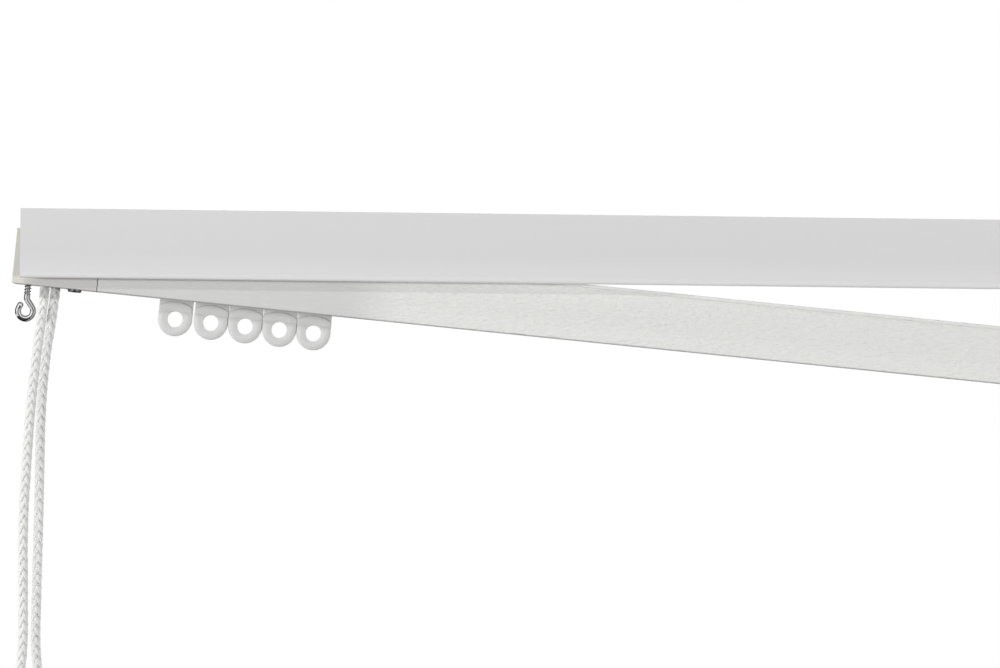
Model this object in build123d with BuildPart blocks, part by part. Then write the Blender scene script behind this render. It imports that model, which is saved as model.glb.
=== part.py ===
from build123d import *
import os
from math import cos, dist, floor, isclose, pi, radians, sin, tan

# Cord drawn curtain track for a wall, in millimetres.
# X runs along the track to the right, Y towards the wall, Z up.
# The origin is the middle of the left bracket's two screw holes, on the wall.

# Driving dimensions of the whole track
TRACK_LENGTH = 600.0
WALL_TO_RAIL_CENTRE = 42.0
ORIGIN_ABOVE_RAIL_BOTTOM = 13.0
BRACKET_INSET = 75.0

# Rail, a drawn hollow section with a slot along its bottom
RAIL_DEPTH = 20.0
RAIL_HEIGHT = 23.2
RAIL_WALL = 1.2
RAIL_CORNER = 0.5
SLOT_WIDTH = 5.0
LEDGE_HEIGHT = 5.0
LEDGE_THICKNESS = 0.8
LEDGE_REACH = 2.0
WEB_THICKNESS = 1.0
WEB_DROP = 6.8
TOP_RIB_WIDTH = 3.5
GROOVE_DEPTH = 0.6
GROOVE_HEIGHT = 0.8
GROOVE_BELOW_ROOF = 0.5

# End housings and the blocks inside them
HOUSING_LENGTH = 34.9
HOUSING_HEIGHT = 22.6
HOUSING_WALL = 1.2
HOUSING_CORNER = 0.3
SEAM_GAP = 0.3
BLOCK_CLEARANCE = 0.2
BLOCK_FLOOR_TOP = 5.0
BLOCK_FOOT_LENGTH = 9.6
BLOCK_FOOT_TOP = 9.5
CHEEK_START = 11.8
SPIGOT_LENGTH = 8.8
SPIGOT_CLEARANCE = 0.2
RETURN_DECK_TOP = 13.9
RETURN_DECK_THICKNESS = 3.0
BLOCK_WALL = 2.5
BOSS_WALL = 2.5

# Cords and pulleys
CORD_DIAMETER = 4.0
CORD_HOLE_CLEARANCE = 0.5
LANE_OFFSET = 4.6
LANE_HEIGHT = 17.0
FRONT_CORD_X = 13.4
REAR_CORD_X = 17.1
GUIDE_CORD_RADIUS = 5.0
FLANGE_BEYOND_CORD = 1.6
PULLEY_WIDTH = 5.4
PULLEY_SIDE_GAP = 0.2
GROOVE_CLEARANCE = 0.15
PIN_RADIUS = 1.25
PIN_CLEARANCE = 0.05
RETURN_AXLE_INSET = 9.0
RETURN_PIN_FOOT = 6.0

# Housing screws, with a pan head below the floor
SCREW_X = 25.3
SCREW_RADIUS = 1.5
SCREW_TIP = 4.6
SCREW_HEAD_RADIUS = 2.85
SCREW_HEAD_HEIGHT = 1.2
SCREW_CLEARANCE = 0.05
RECESS_WIDTH = 0.7
RECESS_LENGTH = 3.2
RECESS_DEPTH = 0.7

# Open screw hook under the left housing
HOOK_X = 6.1
HOOK_WIRE_RADIUS = 1.25
HOOK_RING_RADIUS = 3.1
HOOK_RING_DROP = 10.9
HOOK_BEND_RADIUS = 2.4
HOOK_LEAN = 38.0
HOOK_RING_TURN = 240.0
HOOK_TIP = 2.5
THREAD_RADIUS = 1.6
THREAD_CORE = 1.15
THREAD_PITCH = 1.3
THREAD_TOP = 8.0
THREAD_BELOW = 3.9
HOOK_HOLE_CLEARANCE = 0.05

# Gliders, with a flat head in the rail and a ring below it
GLIDER_FIRST_X = 67.65
GLIDER_FIRST_GAP = 14.75
GLIDER_PITCH = 14.15
GLIDER_COUNT = 5
GLIDER_WIDTH = 13.85
GLIDER_PLATE = 3.2
GLIDER_BOSS = 5.2
GLIDER_HEAD_LENGTH = 12.4
GLIDER_HEAD_WIDTH = 12.0
HEAD_PLAY = 0.1
HEAD_BELOW_LEDGE = 0.3
EYE_RADIUS = 3.15
EYE_DROP = 7.9
BOSS_TOP_DROP = 0.8
BOSS_ARCH = 2.1
BOSS_ROUND = 0.9
EYE_ROUND = 0.7

# Master carrier, clamped to the front strand of the cord
MASTER_X = 470.0
MASTER_LENGTH = 28.0
MASTER_EYE_SPREAD = 14.3
COLUMN_LENGTH = 8.0
COLUMN_WIDTH = 2.3
SADDLE_LENGTH = 14.0
SADDLE_HALF_WIDTH = 3.0
SADDLE_DEPTH = 3.0
CLIP_LENGTH = 8.0
CLIP_THICKNESS = 0.6
CORD_GRIP_CLEARANCE = 0.2

# Wall brackets and their locking levers
PLATE_WIDTH = 24.0
PLATE_HEIGHT = 28.0
PLATE_LOW = 1.0
PLATE_THICKNESS = 3.0
PLATE_CORNER = 2.0
WALL_HOLE_SPACING = 12.0
WALL_HOLE_RADIUS = 2.25
COUNTERSINK_RADIUS = 3.9
ARM_WIDTH = 18.0
ARM_THICKNESS = 3.0
NOSE_THICKNESS = 3.0
NOSE_GAP = 0.4
NOSE_BELOW_LIP = 0.2
HOOK_PLATE = 1.5
HOOK_PLATE_GAP = 0.15
BARB_REACH = 0.45
BARB_HEIGHT = 0.5
GUSSET_SPREAD = 15.0
GUSSET_THICKNESS = 2.0
GUSSET_REACH = 7.0
GUSSET_HEIGHT = 10.0
LEVER_PIVOT_GAP = 7.0
LEVER_THICKNESS = 3.2
LEVER_TOP_GAP = 0.3
LEVER_HUB_RADIUS = 4.2
LEVER_NOSE_GAP = 0.1
LEVER_BARB_REACH = 0.35
LEVER_NOSE_ANGLE = 44.0
LEVER_HANDLE_LENGTH = 14.0
LEVER_HANDLE_WIDTH = 5.0
RIVET_RADIUS = 1.5
RIVET_HEAD_RADIUS = 2.8
RIVET_HEAD_HEIGHT = 0.9
RIVET_CLEARANCE = 0.05
RIVET_HEAD_GAP = 0.15

# Fascia, shown swung open on its pivot at the left housing
FASCIA_OPEN_ANGLE = 5.13
FASCIA_FULL_ANGLE = 15.0
FASCIA_HEIGHT = 28.4
FASCIA_THICKNESS = 1.6
FASCIA_GAP = 3.6
FASCIA_LEFT_OF_PIVOT = 5.4
FASCIA_RIGHT_INSET = 3.5
FASCIA_BELOW_PIVOT = 12.23
FASCIA_LIP_REACH = 6.0
FASCIA_LIP_THICKNESS = 1.4
FASCIA_EDGE = 0.6
PIVOT_X = 7.8
PIVOT_HEIGHT = 15.0
PIVOT_RADIUS = 2.0
PIVOT_CLEARANCE = 0.05
PIVOT_HEAD_RADIUS = 3.0
PIVOT_HEAD_THICKNESS = 0.9
PIVOT_HEAD_GAP = 0.15
CLIP_HUB_RADIUS = 3.8
CLIP_GAP = 0.3
FINGER_LENGTH = 12.0
FINGER_HALF_HEIGHT = 1.0
STOP_CLEARANCE = 0.1
STOP_RIB_HEIGHT = 1.5
STOP_RIB_REACH = 2.8
STOP_RIB_START = 7.0
STOP_RIB_LENGTH = 6.0

# Hank of the cord that is put away, and its tie
HANK_CENTRE_X = 26.4
HANK_RUN_TOP = -214.0
HANK_RUN = 66.0
HANK_INNER_HALF_WIDTH = 14.5
HANK_STEP = 5.0
HANK_LAYER_PITCH = 4.6
HANK_LAYERS = 4
HANK_TURNS_PER_LAYER = 1.5
HANK_LAST_TURNS = 1.2
HANK_WAIST = 10.0
RUN_SHARE = 0.2
TIE_HEIGHT = 7.0
TIE_THICKNESS = 1.2
TIE_GAP = 0.3
ARC_SHARE = 0.45

# Places worked out from the driving dimensions
x_left = -BRACKET_INSET
x_right = x_left + TRACK_LENGTH
x_seam_left = x_left + HOUSING_LENGTH
x_seam_right = x_right - HOUSING_LENGTH
z_bottom = -ORIGIN_ABOVE_RAIL_BOTTOM
z_top = z_bottom + RAIL_HEIGHT
z_housing_top = z_bottom + HOUSING_HEIGHT
z_roof = z_housing_top - RAIL_WALL
y_rail = -WALL_TO_RAIL_CENTRE
y_front = y_rail - RAIL_DEPTH / 2
y_back = y_rail + RAIL_DEPTH / 2
y_lane_front = y_rail - LANE_OFFSET
y_lane_rear = y_rail + LANE_OFFSET
z_lane = z_bottom + LANE_HEIGHT
cord_radius = CORD_DIAMETER / 2
y_fascia_back = y_front - FASCIA_GAP
z_pivot = z_bottom + PIVOT_HEIGHT
x_pivot = x_left + PIVOT_X
bracket_places = (0.0, TRACK_LENGTH - 2 * BRACKET_INSET)


def section(x):
    """Plane across the track at x, whose own axes are Y and Z."""
    return Plane(origin=(x, 0, 0), x_dir=(0, 1, 0), z_dir=(1, 0, 0))


def upright(y):
    """Plane along the track at y, facing the room, whose own axes are X and Z."""
    return Plane.XZ.offset(-y)


def patch(u_span, v_span, mode=Mode.ADD):
    """Rectangle between two pairs of coordinates of the sketch."""
    with Locations(((u_span[0] + u_span[1]) / 2, (v_span[0] + v_span[1]) / 2)):
        Rectangle(u_span[1] - u_span[0], v_span[1] - v_span[0], mode=mode)


def block(x_span, y_span, z_span, mode=Mode.ADD):
    """Box between three pairs of coordinates."""
    middle = [(low + high) / 2 for low, high in (x_span, y_span, z_span)]
    size = [high - low for low, high in (x_span, y_span, z_span)]
    with Locations(tuple(middle)):
        Box(*size, mode=mode)


def rod(plane, u, v, radius, length, mode=Mode.ADD):
    """Round bar or hole that starts on a plane and runs along its normal."""
    with BuildSketch(plane) as disc:
        with Locations((u, v)):
            Circle(radius)
    extrude(disc.sketch, amount=length, mode=mode)


def tube(line, radius):
    """Round tube along a line, square to its start."""
    with BuildSketch(Plane(origin=line @ 0, z_dir=line % 0)) as end:
        Circle(radius)
    sweep(end.sketch, path=line)


def save(builder, name):
    """Label a finished piece and write it under its node's name."""
    builder.part.label = name
    export_step(builder.part, f"parts/{name}.step")


os.makedirs("parts", exist_ok=True)

# Rail
with BuildPart() as track_rail:
    with BuildSketch(section(x_seam_left + SEAM_GAP)):
        patch((y_front, y_back), (z_bottom, z_top))
        fillet(vertices(), RAIL_CORNER)
        patch((y_front + RAIL_WALL, y_back - RAIL_WALL), (z_bottom + RAIL_WALL, z_roof), Mode.SUBTRACT)
        y_slot = (y_rail - SLOT_WIDTH / 2, y_rail + SLOT_WIDTH / 2)
        patch(y_slot, (z_bottom, z_bottom + RAIL_WALL), Mode.SUBTRACT)
        patch((y_front + TOP_RIB_WIDTH, y_back - TOP_RIB_WIDTH), (z_housing_top, z_top), Mode.SUBTRACT)
        z_groove = z_housing_top - GROOVE_BELOW_ROOF
        for y_span in ((y_front, y_front + GROOVE_DEPTH), (y_back - GROOVE_DEPTH, y_back)):
            patch(y_span, (z_groove, z_groove + GROOVE_HEIGHT), Mode.SUBTRACT)
        z_ledge = z_bottom + LEDGE_HEIGHT
        ledge_root = RAIL_DEPTH / 2 - RAIL_WALL
        for side in (-1, 1):
            ledge = sorted((y_rail + side * ledge_root, y_rail + side * (ledge_root - LEDGE_REACH)))
            patch(ledge, (z_ledge, z_ledge + LEDGE_THICKNESS))
        patch((y_rail - WEB_THICKNESS / 2, y_rail + WEB_THICKNESS / 2), (z_roof - WEB_DROP, z_roof))
    extrude(amount=x_seam_right - x_seam_left - 2 * SEAM_GAP)
save(track_rail, "track_rail")


# End housings
def housing(x_closed, x_open):
    """Thin shell with a closed outer end and an open end against the rail."""
    x_span = sorted((x_closed, x_open))
    with BuildPart() as shell:
        block(x_span, (y_front, y_back), (z_bottom, z_housing_top))
        fillet(shell.edges().filter_by(Axis.X), HOUSING_CORNER)
        closed_face = shell.faces().filter_by(Axis.X).sort_by_distance((x_closed, y_rail, z_lane))[0]
        fillet(closed_face.edges(), HOUSING_CORNER)
        inward = HOUSING_WALL if x_open > x_closed else -HOUSING_WALL
        block(
            sorted((x_closed + inward, x_open)),
            (y_front + HOUSING_WALL, y_back - HOUSING_WALL),
            (z_bottom + HOUSING_WALL, z_housing_top - HOUSING_WALL),
            Mode.SUBTRACT,
        )
        x_screw = x_closed + SCREW_X * (1 if x_open > x_closed else -1)
        screw_hole_radius = SCREW_RADIUS + SCREW_CLEARANCE
        rod(Plane.XY.offset(z_bottom), x_screw, y_rail, screw_hole_radius, HOUSING_WALL, Mode.SUBTRACT)
    return shell


finger_tip_height = FINGER_LENGTH * sin(radians(FASCIA_FULL_ANGLE)) + FINGER_HALF_HEIGHT
z_low_stop = z_pivot - FINGER_HALF_HEIGHT - STOP_CLEARANCE
z_high_stop = z_pivot + finger_tip_height + STOP_CLEARANCE
x_stop = x_pivot + STOP_RIB_START
cord_exits = ((x_left + FRONT_CORD_X, y_lane_front), (x_left + REAR_CORD_X, y_lane_rear))
cord_hole_radius = cord_radius + CORD_HOLE_CLEARANCE

left_shell = housing(x_left, x_seam_left)
with BuildPart() as end_housing_left:
    add(left_shell.part)
    for x_exit, y_exit in cord_exits:
        rod(Plane.XY.offset(z_bottom), x_exit, y_exit, cord_hole_radius, HOUSING_WALL, Mode.SUBTRACT)
    rod(
        Plane.XY.offset(z_bottom),
        x_left + HOOK_X,
        y_rail,
        THREAD_RADIUS + HOOK_HOLE_CLEARANCE,
        HOUSING_WALL,
        Mode.SUBTRACT,
    )
    pivot_hole_radius = PIVOT_RADIUS + PIVOT_CLEARANCE
    rod(upright(y_front + HOUSING_WALL), x_pivot, z_pivot, pivot_hole_radius, HOUSING_WALL, Mode.SUBTRACT)
    y_rib = (y_front - STOP_RIB_REACH, y_front)
    block((x_stop, x_stop + STOP_RIB_LENGTH), y_rib, (z_low_stop - STOP_RIB_HEIGHT, z_low_stop))
    block((x_stop, x_stop + STOP_RIB_LENGTH), y_rib, (z_high_stop, z_high_stop + STOP_RIB_HEIGHT))
save(end_housing_left, "end_housing_left")

end_housing_right = housing(x_right, x_seam_right)
save(end_housing_right, "end_housing_right")

# Blocks inside the housings, with the spigots that enter the rail
block_half_depth = RAIL_DEPTH / 2 - HOUSING_WALL - BLOCK_CLEARANCE
block_span = (y_rail - block_half_depth, y_rail + block_half_depth)
z_block_foot = z_bottom + HOUSING_WALL
z_block_floor = z_bottom + BLOCK_FLOOR_TOP
z_block_top = z_housing_top - HOUSING_WALL - BLOCK_CLEARANCE
pocket_inner = LANE_OFFSET - PULLEY_WIDTH / 2 - PULLEY_SIDE_GAP
pocket_outer = LANE_OFFSET + PULLEY_WIDTH / 2 + PULLEY_SIDE_GAP
spigot_half_depth = RAIL_DEPTH / 2 - RAIL_WALL - SPIGOT_CLEARANCE
spigot_span = (y_rail - spigot_half_depth, y_rail + spigot_half_depth)
z_spigot = (z_bottom + RAIL_WALL + SPIGOT_CLEARANCE, z_ledge - SPIGOT_CLEARANCE)
x_block_left = x_left + HOUSING_WALL + BLOCK_CLEARANCE
x_block_right = x_right - HOUSING_WALL - BLOCK_CLEARANCE
guide_flange_radius = GUIDE_CORD_RADIUS + FLANGE_BEYOND_CORD
z_guide_axle = z_lane - GUIDE_CORD_RADIUS
x_front_axle = x_left + FRONT_CORD_X + GUIDE_CORD_RADIUS
x_rear_axle = x_left + REAR_CORD_X + GUIDE_CORD_RADIUS
pin_hole_radius = PIN_RADIUS + PIN_CLEARANCE

with BuildPart() as guide_block:
    x_foot = (x_block_left, x_block_left + BLOCK_FOOT_LENGTH)
    block(x_foot, block_span, (z_block_foot, z_bottom + BLOCK_FOOT_TOP))
    block((x_block_left, x_seam_left), block_span, (z_block_foot, z_block_floor))
    for y_wall in (
        (block_span[0], y_rail - pocket_outer),
        (y_rail - pocket_inner, y_rail + pocket_inner),
        (y_rail + pocket_outer, block_span[1]),
    ):
        block((x_left + CHEEK_START, x_seam_left), y_wall, (z_block_floor, z_block_top))
    block((x_seam_left, x_seam_left + SPIGOT_LENGTH), spigot_span, z_spigot)
    for x_exit, y_exit in cord_exits:
        rod(Plane.XY.offset(z_block_foot), x_exit, y_exit, cord_hole_radius, BLOCK_FOOT_TOP, Mode.SUBTRACT)
    rod(
        Plane.XY.offset(z_block_foot),
        x_left + SCREW_X,
        y_rail,
        SCREW_RADIUS + SCREW_CLEARANCE,
        SCREW_TIP - HOUSING_WALL + BLOCK_CLEARANCE,
        Mode.SUBTRACT,
    )
    rod(
        Plane.XY.offset(z_block_foot),
        x_left + HOOK_X,
        y_rail,
        THREAD_RADIUS + HOOK_HOLE_CLEARANCE,
        THREAD_TOP - HOUSING_WALL + BLOCK_CLEARANCE,
        Mode.SUBTRACT,
    )
    rod(upright(y_rail), x_front_axle, z_guide_axle, pin_hole_radius, RAIL_DEPTH / 2, Mode.SUBTRACT)
    rod(upright(y_back), x_rear_axle, z_guide_axle, pin_hole_radius, RAIL_DEPTH / 2, Mode.SUBTRACT)
save(guide_block, "guide_block")

x_return_axle = x_right - RETURN_AXLE_INSET
z_return_deck = z_bottom + RETURN_DECK_TOP
z_deck_bottom = z_return_deck - RETURN_DECK_THICKNESS

with BuildPart() as return_block:
    block((x_seam_right, x_block_right), block_span, (z_block_foot, z_return_deck))
    block(
        (x_seam_right + BLOCK_WALL, x_block_right - BLOCK_WALL),
        (block_span[0] + BLOCK_WALL, block_span[1] - BLOCK_WALL),
        (z_block_foot, z_deck_bottom),
        Mode.SUBTRACT,
    )
    for x_boss, radius in ((x_return_axle, PIN_RADIUS), (x_right - SCREW_X, SCREW_RADIUS)):
        rod(Plane.XY.offset(z_block_foot), x_boss, y_rail, radius + BOSS_WALL, z_deck_bottom - z_block_foot)
    block((x_seam_right - SPIGOT_LENGTH, x_seam_right), spigot_span, z_spigot)
    rod(
        Plane.XY.offset(z_bottom + RETURN_PIN_FOOT),
        x_return_axle,
        y_rail,
        pin_hole_radius,
        RETURN_DECK_TOP,
        Mode.SUBTRACT,
    )
    rod(
        Plane.XY.offset(z_block_foot),
        x_right - SCREW_X,
        y_rail,
        SCREW_RADIUS + SCREW_CLEARANCE,
        SCREW_TIP - HOUSING_WALL + BLOCK_CLEARANCE,
        Mode.SUBTRACT,
    )
save(return_block, "return_block")


# Pulleys, turned from a half section with a round groove
def guide_pulley(x_axle, y_middle):
    """Pulley on a cross pin, whose groove carries the cord on a quarter turn."""
    with BuildPart() as pulley:
        with BuildSketch(Plane.XY.offset(z_guide_axle)):
            half = PULLEY_WIDTH / 2
            x_wheel = (x_axle + pin_hole_radius, x_axle + guide_flange_radius)
            patch(x_wheel, (y_middle - half, y_middle + half))
            with Locations((x_axle + GUIDE_CORD_RADIUS, y_middle)):
                Circle(cord_radius + GROOVE_CLEARANCE, mode=Mode.SUBTRACT)
            patch(
                (x_axle + GUIDE_CORD_RADIUS, x_axle + guide_flange_radius),
                (y_middle - cord_radius - GROOVE_CLEARANCE, y_middle + cord_radius + GROOVE_CLEARANCE),
                Mode.SUBTRACT,
            )
        revolve(axis=Axis((x_axle, y_middle, z_guide_axle), (0, 1, 0)))
    return pulley


guide_pulley_front = guide_pulley(x_front_axle, y_lane_front)
save(guide_pulley_front, "guide_pulley_front")
guide_pulley_rear = guide_pulley(x_rear_axle, y_lane_rear)
save(guide_pulley_rear, "guide_pulley_rear")

z_return_wheel = (z_lane - PULLEY_WIDTH / 2, z_lane + PULLEY_WIDTH / 2)
return_flange_radius = LANE_OFFSET + FLANGE_BEYOND_CORD
with BuildPart() as return_pulley:
    with BuildSketch(upright(y_rail)):
        patch((x_return_axle + pin_hole_radius, x_return_axle + return_flange_radius), z_return_wheel)
        with Locations((x_return_axle + LANE_OFFSET, z_lane)):
            Circle(cord_radius + GROOVE_CLEARANCE, mode=Mode.SUBTRACT)
        patch(
            (x_return_axle + LANE_OFFSET, x_return_axle + return_flange_radius),
            (z_lane - cord_radius - GROOVE_CLEARANCE, z_lane + cord_radius + GROOVE_CLEARANCE),
            Mode.SUBTRACT,
        )
    revolve(axis=Axis((x_return_axle, y_rail, z_lane), (0, 0, 1)))
save(return_pulley, "return_pulley")

with BuildPart() as guide_pulley_pins:
    pin_length = block_half_depth - pocket_inner / 2
    rod(upright(y_rail - pocket_inner / 2), x_front_axle, z_guide_axle, PIN_RADIUS, pin_length)
    rod(upright(block_span[1]), x_rear_axle, z_guide_axle, PIN_RADIUS, pin_length)
save(guide_pulley_pins, "guide_pulley_pins")

with BuildPart() as return_pulley_pin:
    z_pin_foot = z_bottom + RETURN_PIN_FOOT
    rod(Plane.XY.offset(z_pin_foot), x_return_axle, y_rail, PIN_RADIUS, z_block_top - z_pin_foot)
save(return_pulley_pin, "return_pulley_pin")

# Housing screws, one under each housing
with BuildPart() as housing_screws:
    for x_screw in (x_left + SCREW_X, x_right - SCREW_X):
        rod(Plane.XY.offset(z_bottom), x_screw, y_rail, SCREW_RADIUS, SCREW_TIP)
        with BuildSketch(Plane.XY.offset(z_bottom - SCREW_HEAD_HEIGHT)):
            with Locations((x_screw, y_rail)):
                Circle(SCREW_HEAD_RADIUS)
        extrude(amount=SCREW_HEAD_HEIGHT)
    rims = housing_screws.edges().group_by(Axis.Z)[0]
    fillet(rims, SCREW_HEAD_HEIGHT / 2)
    for x_screw in (x_left + SCREW_X, x_right - SCREW_X):
        with BuildSketch(Plane.XY.offset(z_bottom - SCREW_HEAD_HEIGHT)):
            with Locations((x_screw, y_rail)):
                Rectangle(RECESS_LENGTH, RECESS_WIDTH)
                Rectangle(RECESS_WIDTH, RECESS_LENGTH)
        extrude(amount=RECESS_DEPTH, mode=Mode.SUBTRACT)
save(housing_screws, "housing_screws")

# Screw hook, a threaded shank bent into an open ring
hook_lean = radians(HOOK_LEAN)
ring_middle = (x_left + HOOK_X, z_bottom - HOOK_RING_DROP)
ring_start = (
    ring_middle[0] + HOOK_RING_RADIUS * cos(hook_lean),
    ring_middle[1] + HOOK_RING_RADIUS * sin(hook_lean),
)
bend_width = HOOK_BEND_RADIUS * (1 - cos(hook_lean))
slant_length = (ring_start[0] - ring_middle[0] - bend_width) / sin(hook_lean)
bend_end = (ring_start[0] - slant_length * sin(hook_lean), ring_start[1] + slant_length * cos(hook_lean))
bend_start = (ring_middle[0], bend_end[1] + HOOK_BEND_RADIUS * sin(hook_lean))

with BuildPart() as screw_hook:
    with BuildLine(upright(y_rail)) as hook_line:
        Line((ring_middle[0], z_bottom), bend_start)
        JernArc(bend_start, (0, -1), HOOK_BEND_RADIUS, HOOK_LEAN)
        Line(bend_end, ring_start)
        ring = JernArc(ring_start, (sin(hook_lean), -cos(hook_lean)), HOOK_RING_RADIUS, -HOOK_RING_TURN)
        Line(ring @ 1, (ring @ 1) + (ring % 1) * HOOK_TIP)
    tube(hook_line.wire(), HOOK_WIRE_RADIUS)
    tip_rim = screw_hook.edges().filter_by(GeomType.CIRCLE).sort_by_distance(hook_line.wire() @ 1)[0]
    fillet(tip_rim, HOOK_WIRE_RADIUS / 4)
    z_thread_top = z_bottom + THREAD_TOP
    thread_turns = floor((THREAD_TOP + THREAD_BELOW) / THREAD_PITCH)
    with BuildSketch(upright(y_rail)):
        with BuildLine():
            outline = [(ring_middle[0], z_thread_top)]
            for turn in range(thread_turns):
                z_crest = z_thread_top - (turn + 0.5) * THREAD_PITCH
                outline.append((ring_middle[0] + THREAD_CORE, z_crest + THREAD_PITCH / 2))
                outline.append((ring_middle[0] + THREAD_RADIUS, z_crest + THREAD_PITCH / 10))
                outline.append((ring_middle[0] + THREAD_RADIUS, z_crest - THREAD_PITCH / 10))
            z_thread_end = z_thread_top - thread_turns * THREAD_PITCH
            outline.append((ring_middle[0] + THREAD_CORE, z_thread_end))
            outline.append((ring_middle[0], z_thread_end))
            Polyline(outline, close=True)
        make_face()
    revolve(axis=Axis((ring_middle[0], y_rail, 0), (0, 0, 1)))
save(screw_hook, "screw_hook")

# Draw cord where the track holds it: over the guide pulleys and round the return pulley
with BuildPart() as track_cord:
    with BuildLine() as track_line:
        x_front_exit, x_rear_exit = x_left + FRONT_CORD_X, x_left + REAR_CORD_X
        up = Line((x_front_exit, y_lane_front, z_bottom), (x_front_exit, y_lane_front, z_guide_axle))
        over = TangentArc(up @ 1, (x_front_axle, y_lane_front, z_lane), tangent=up % 1)
        out = Line(over @ 1, (x_return_axle, y_lane_front, z_lane))
        turn_out = TangentArc(out @ 1, (x_return_axle + LANE_OFFSET, y_rail, z_lane), tangent=out % 1)
        turn_back = TangentArc(turn_out @ 1, (x_return_axle, y_lane_rear, z_lane), tangent=turn_out % 1)
        back = Line(turn_back @ 1, (x_rear_axle, y_lane_rear, z_lane))
        under = TangentArc(back @ 1, (x_rear_exit, y_lane_rear, z_guide_axle), tangent=back % 1)
        Line(under @ 1, (x_rear_exit, y_lane_rear, z_bottom))
    tube(track_line.wire(), cord_radius)
save(track_cord, "track_cord")


# Gliders and the master carrier
def ring_outline(x_middles, top_drop, arch):
    """Outline of one or two joined rings, round below and with a shallow arch on top."""
    half = GLIDER_WIDTH / 2
    x_low, x_high = x_middles[0] - half, x_middles[-1] + half
    z_eye = z_bottom - EYE_DROP
    z_side = z_bottom - top_drop - arch
    with BuildLine() as outline:
        Line((x_low, z_eye), (x_low, z_side))
        if arch:
            ThreePointArc((x_low, z_side), ((x_low + x_high) / 2, z_side + arch), (x_high, z_side))
        else:
            Line((x_low, z_side), (x_high, z_side))
        Line((x_high, z_side), (x_high, z_eye))
        CenterArc((x_middles[-1], z_eye), half, 0, -90)
        if len(x_middles) > 1:
            Line((x_middles[-1], z_eye - half), (x_middles[0], z_eye - half))
        CenterArc((x_middles[0], z_eye), half, -90, -90)
    make_face(outline.edges())


def hanger(x_middles, length):
    """Flat head in the rail, neck through the slot and ringed plate below."""
    x_middle = (x_middles[0] + x_middles[-1]) / 2
    half_plate, half_boss = GLIDER_PLATE / 2, GLIDER_BOSS / 2
    z_head_top = z_ledge - HEAD_BELOW_LEDGE
    z_head_foot = z_bottom + RAIL_WALL + HEAD_PLAY
    z_eye = z_bottom - EYE_DROP
    with BuildPart() as piece:
        with BuildSketch(upright(y_rail + half_plate)):
            ring_outline(x_middles, -RAIL_WALL - HEAD_PLAY, 0)
        extrude(amount=GLIDER_PLATE)
        with BuildSketch(upright(y_rail + half_boss)):
            ring_outline(x_middles, BOSS_TOP_DROP, BOSS_ARCH)
        extrude(amount=GLIDER_BOSS)
        for y_face in (y_rail - half_boss, y_rail + half_boss):
            rim = piece.faces().filter_by(Axis.Y).sort_by_distance((x_middle, y_face, z_eye))[0]
            fillet(rim.edges(), BOSS_ROUND)
        for x_eye in x_middles:
            rod(upright(y_rail + half_boss), x_eye, z_eye, EYE_RADIUS, GLIDER_BOSS, Mode.SUBTRACT)
        circles = piece.edges().filter_by(GeomType.CIRCLE)
        fillet(circles.filter_by(lambda rim: isclose(rim.radius, EYE_RADIUS)), EYE_ROUND)
        half_head = GLIDER_HEAD_WIDTH / 2
        block(
            (x_middle - length / 2, x_middle + length / 2),
            (y_rail - half_head, y_rail + half_head),
            (z_head_foot, z_head_top),
        )
    return piece


glider_places = [x_left + GLIDER_FIRST_X]
for number in range(1, GLIDER_COUNT):
    spacing = GLIDER_FIRST_GAP if number == 1 else GLIDER_PITCH
    glider_places.append(glider_places[-1] + spacing)

for number, x_glider in enumerate(glider_places, start=1):
    save(hanger((x_glider,), GLIDER_HEAD_LENGTH), f"glider_{number}")

x_master = x_left + MASTER_X
master_eyes = (x_master - MASTER_EYE_SPREAD / 2, x_master + MASTER_EYE_SPREAD / 2)
master_body = hanger(master_eyes, MASTER_LENGTH)
grip_radius = cord_radius + CORD_GRIP_CLEARANCE
with BuildPart() as master_carrier:
    add(master_body.part)
    block(
        (x_master - COLUMN_LENGTH / 2, x_master + COLUMN_LENGTH / 2),
        (y_lane_front - COLUMN_WIDTH / 2, y_lane_front + COLUMN_WIDTH / 2),
        (z_ledge - HEAD_BELOW_LEDGE, z_lane - SADDLE_DEPTH),
    )
    block(
        (x_master - SADDLE_LENGTH / 2, x_master + SADDLE_LENGTH / 2),
        (y_lane_front - SADDLE_HALF_WIDTH, y_lane_front + SADDLE_HALF_WIDTH),
        (z_lane - SADDLE_DEPTH, z_lane),
    )
    saddle_start = section(x_master - SADDLE_LENGTH / 2)
    rod(saddle_start, y_lane_front, z_lane, grip_radius, SADDLE_LENGTH, Mode.SUBTRACT)
save(master_carrier, "master_carrier")

with BuildPart() as cord_clip:
    with BuildSketch(section(x_master - CLIP_LENGTH / 2)):
        with Locations((y_lane_front, z_lane)):
            Circle(grip_radius + CLIP_THICKNESS)
        patch(
            (y_lane_front - SADDLE_HALF_WIDTH, y_lane_front + SADDLE_HALF_WIDTH),
            (z_lane, z_lane + CLIP_THICKNESS),
        )
        with Locations((y_lane_front, z_lane)):
            Circle(grip_radius, mode=Mode.SUBTRACT)
        patch(
            (y_lane_front - SADDLE_HALF_WIDTH, y_lane_front + SADDLE_HALF_WIDTH),
            (z_lane - SADDLE_DEPTH, z_lane),
            Mode.SUBTRACT,
        )
    extrude(amount=CLIP_LENGTH)
save(cord_clip, "cord_clip")

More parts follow.
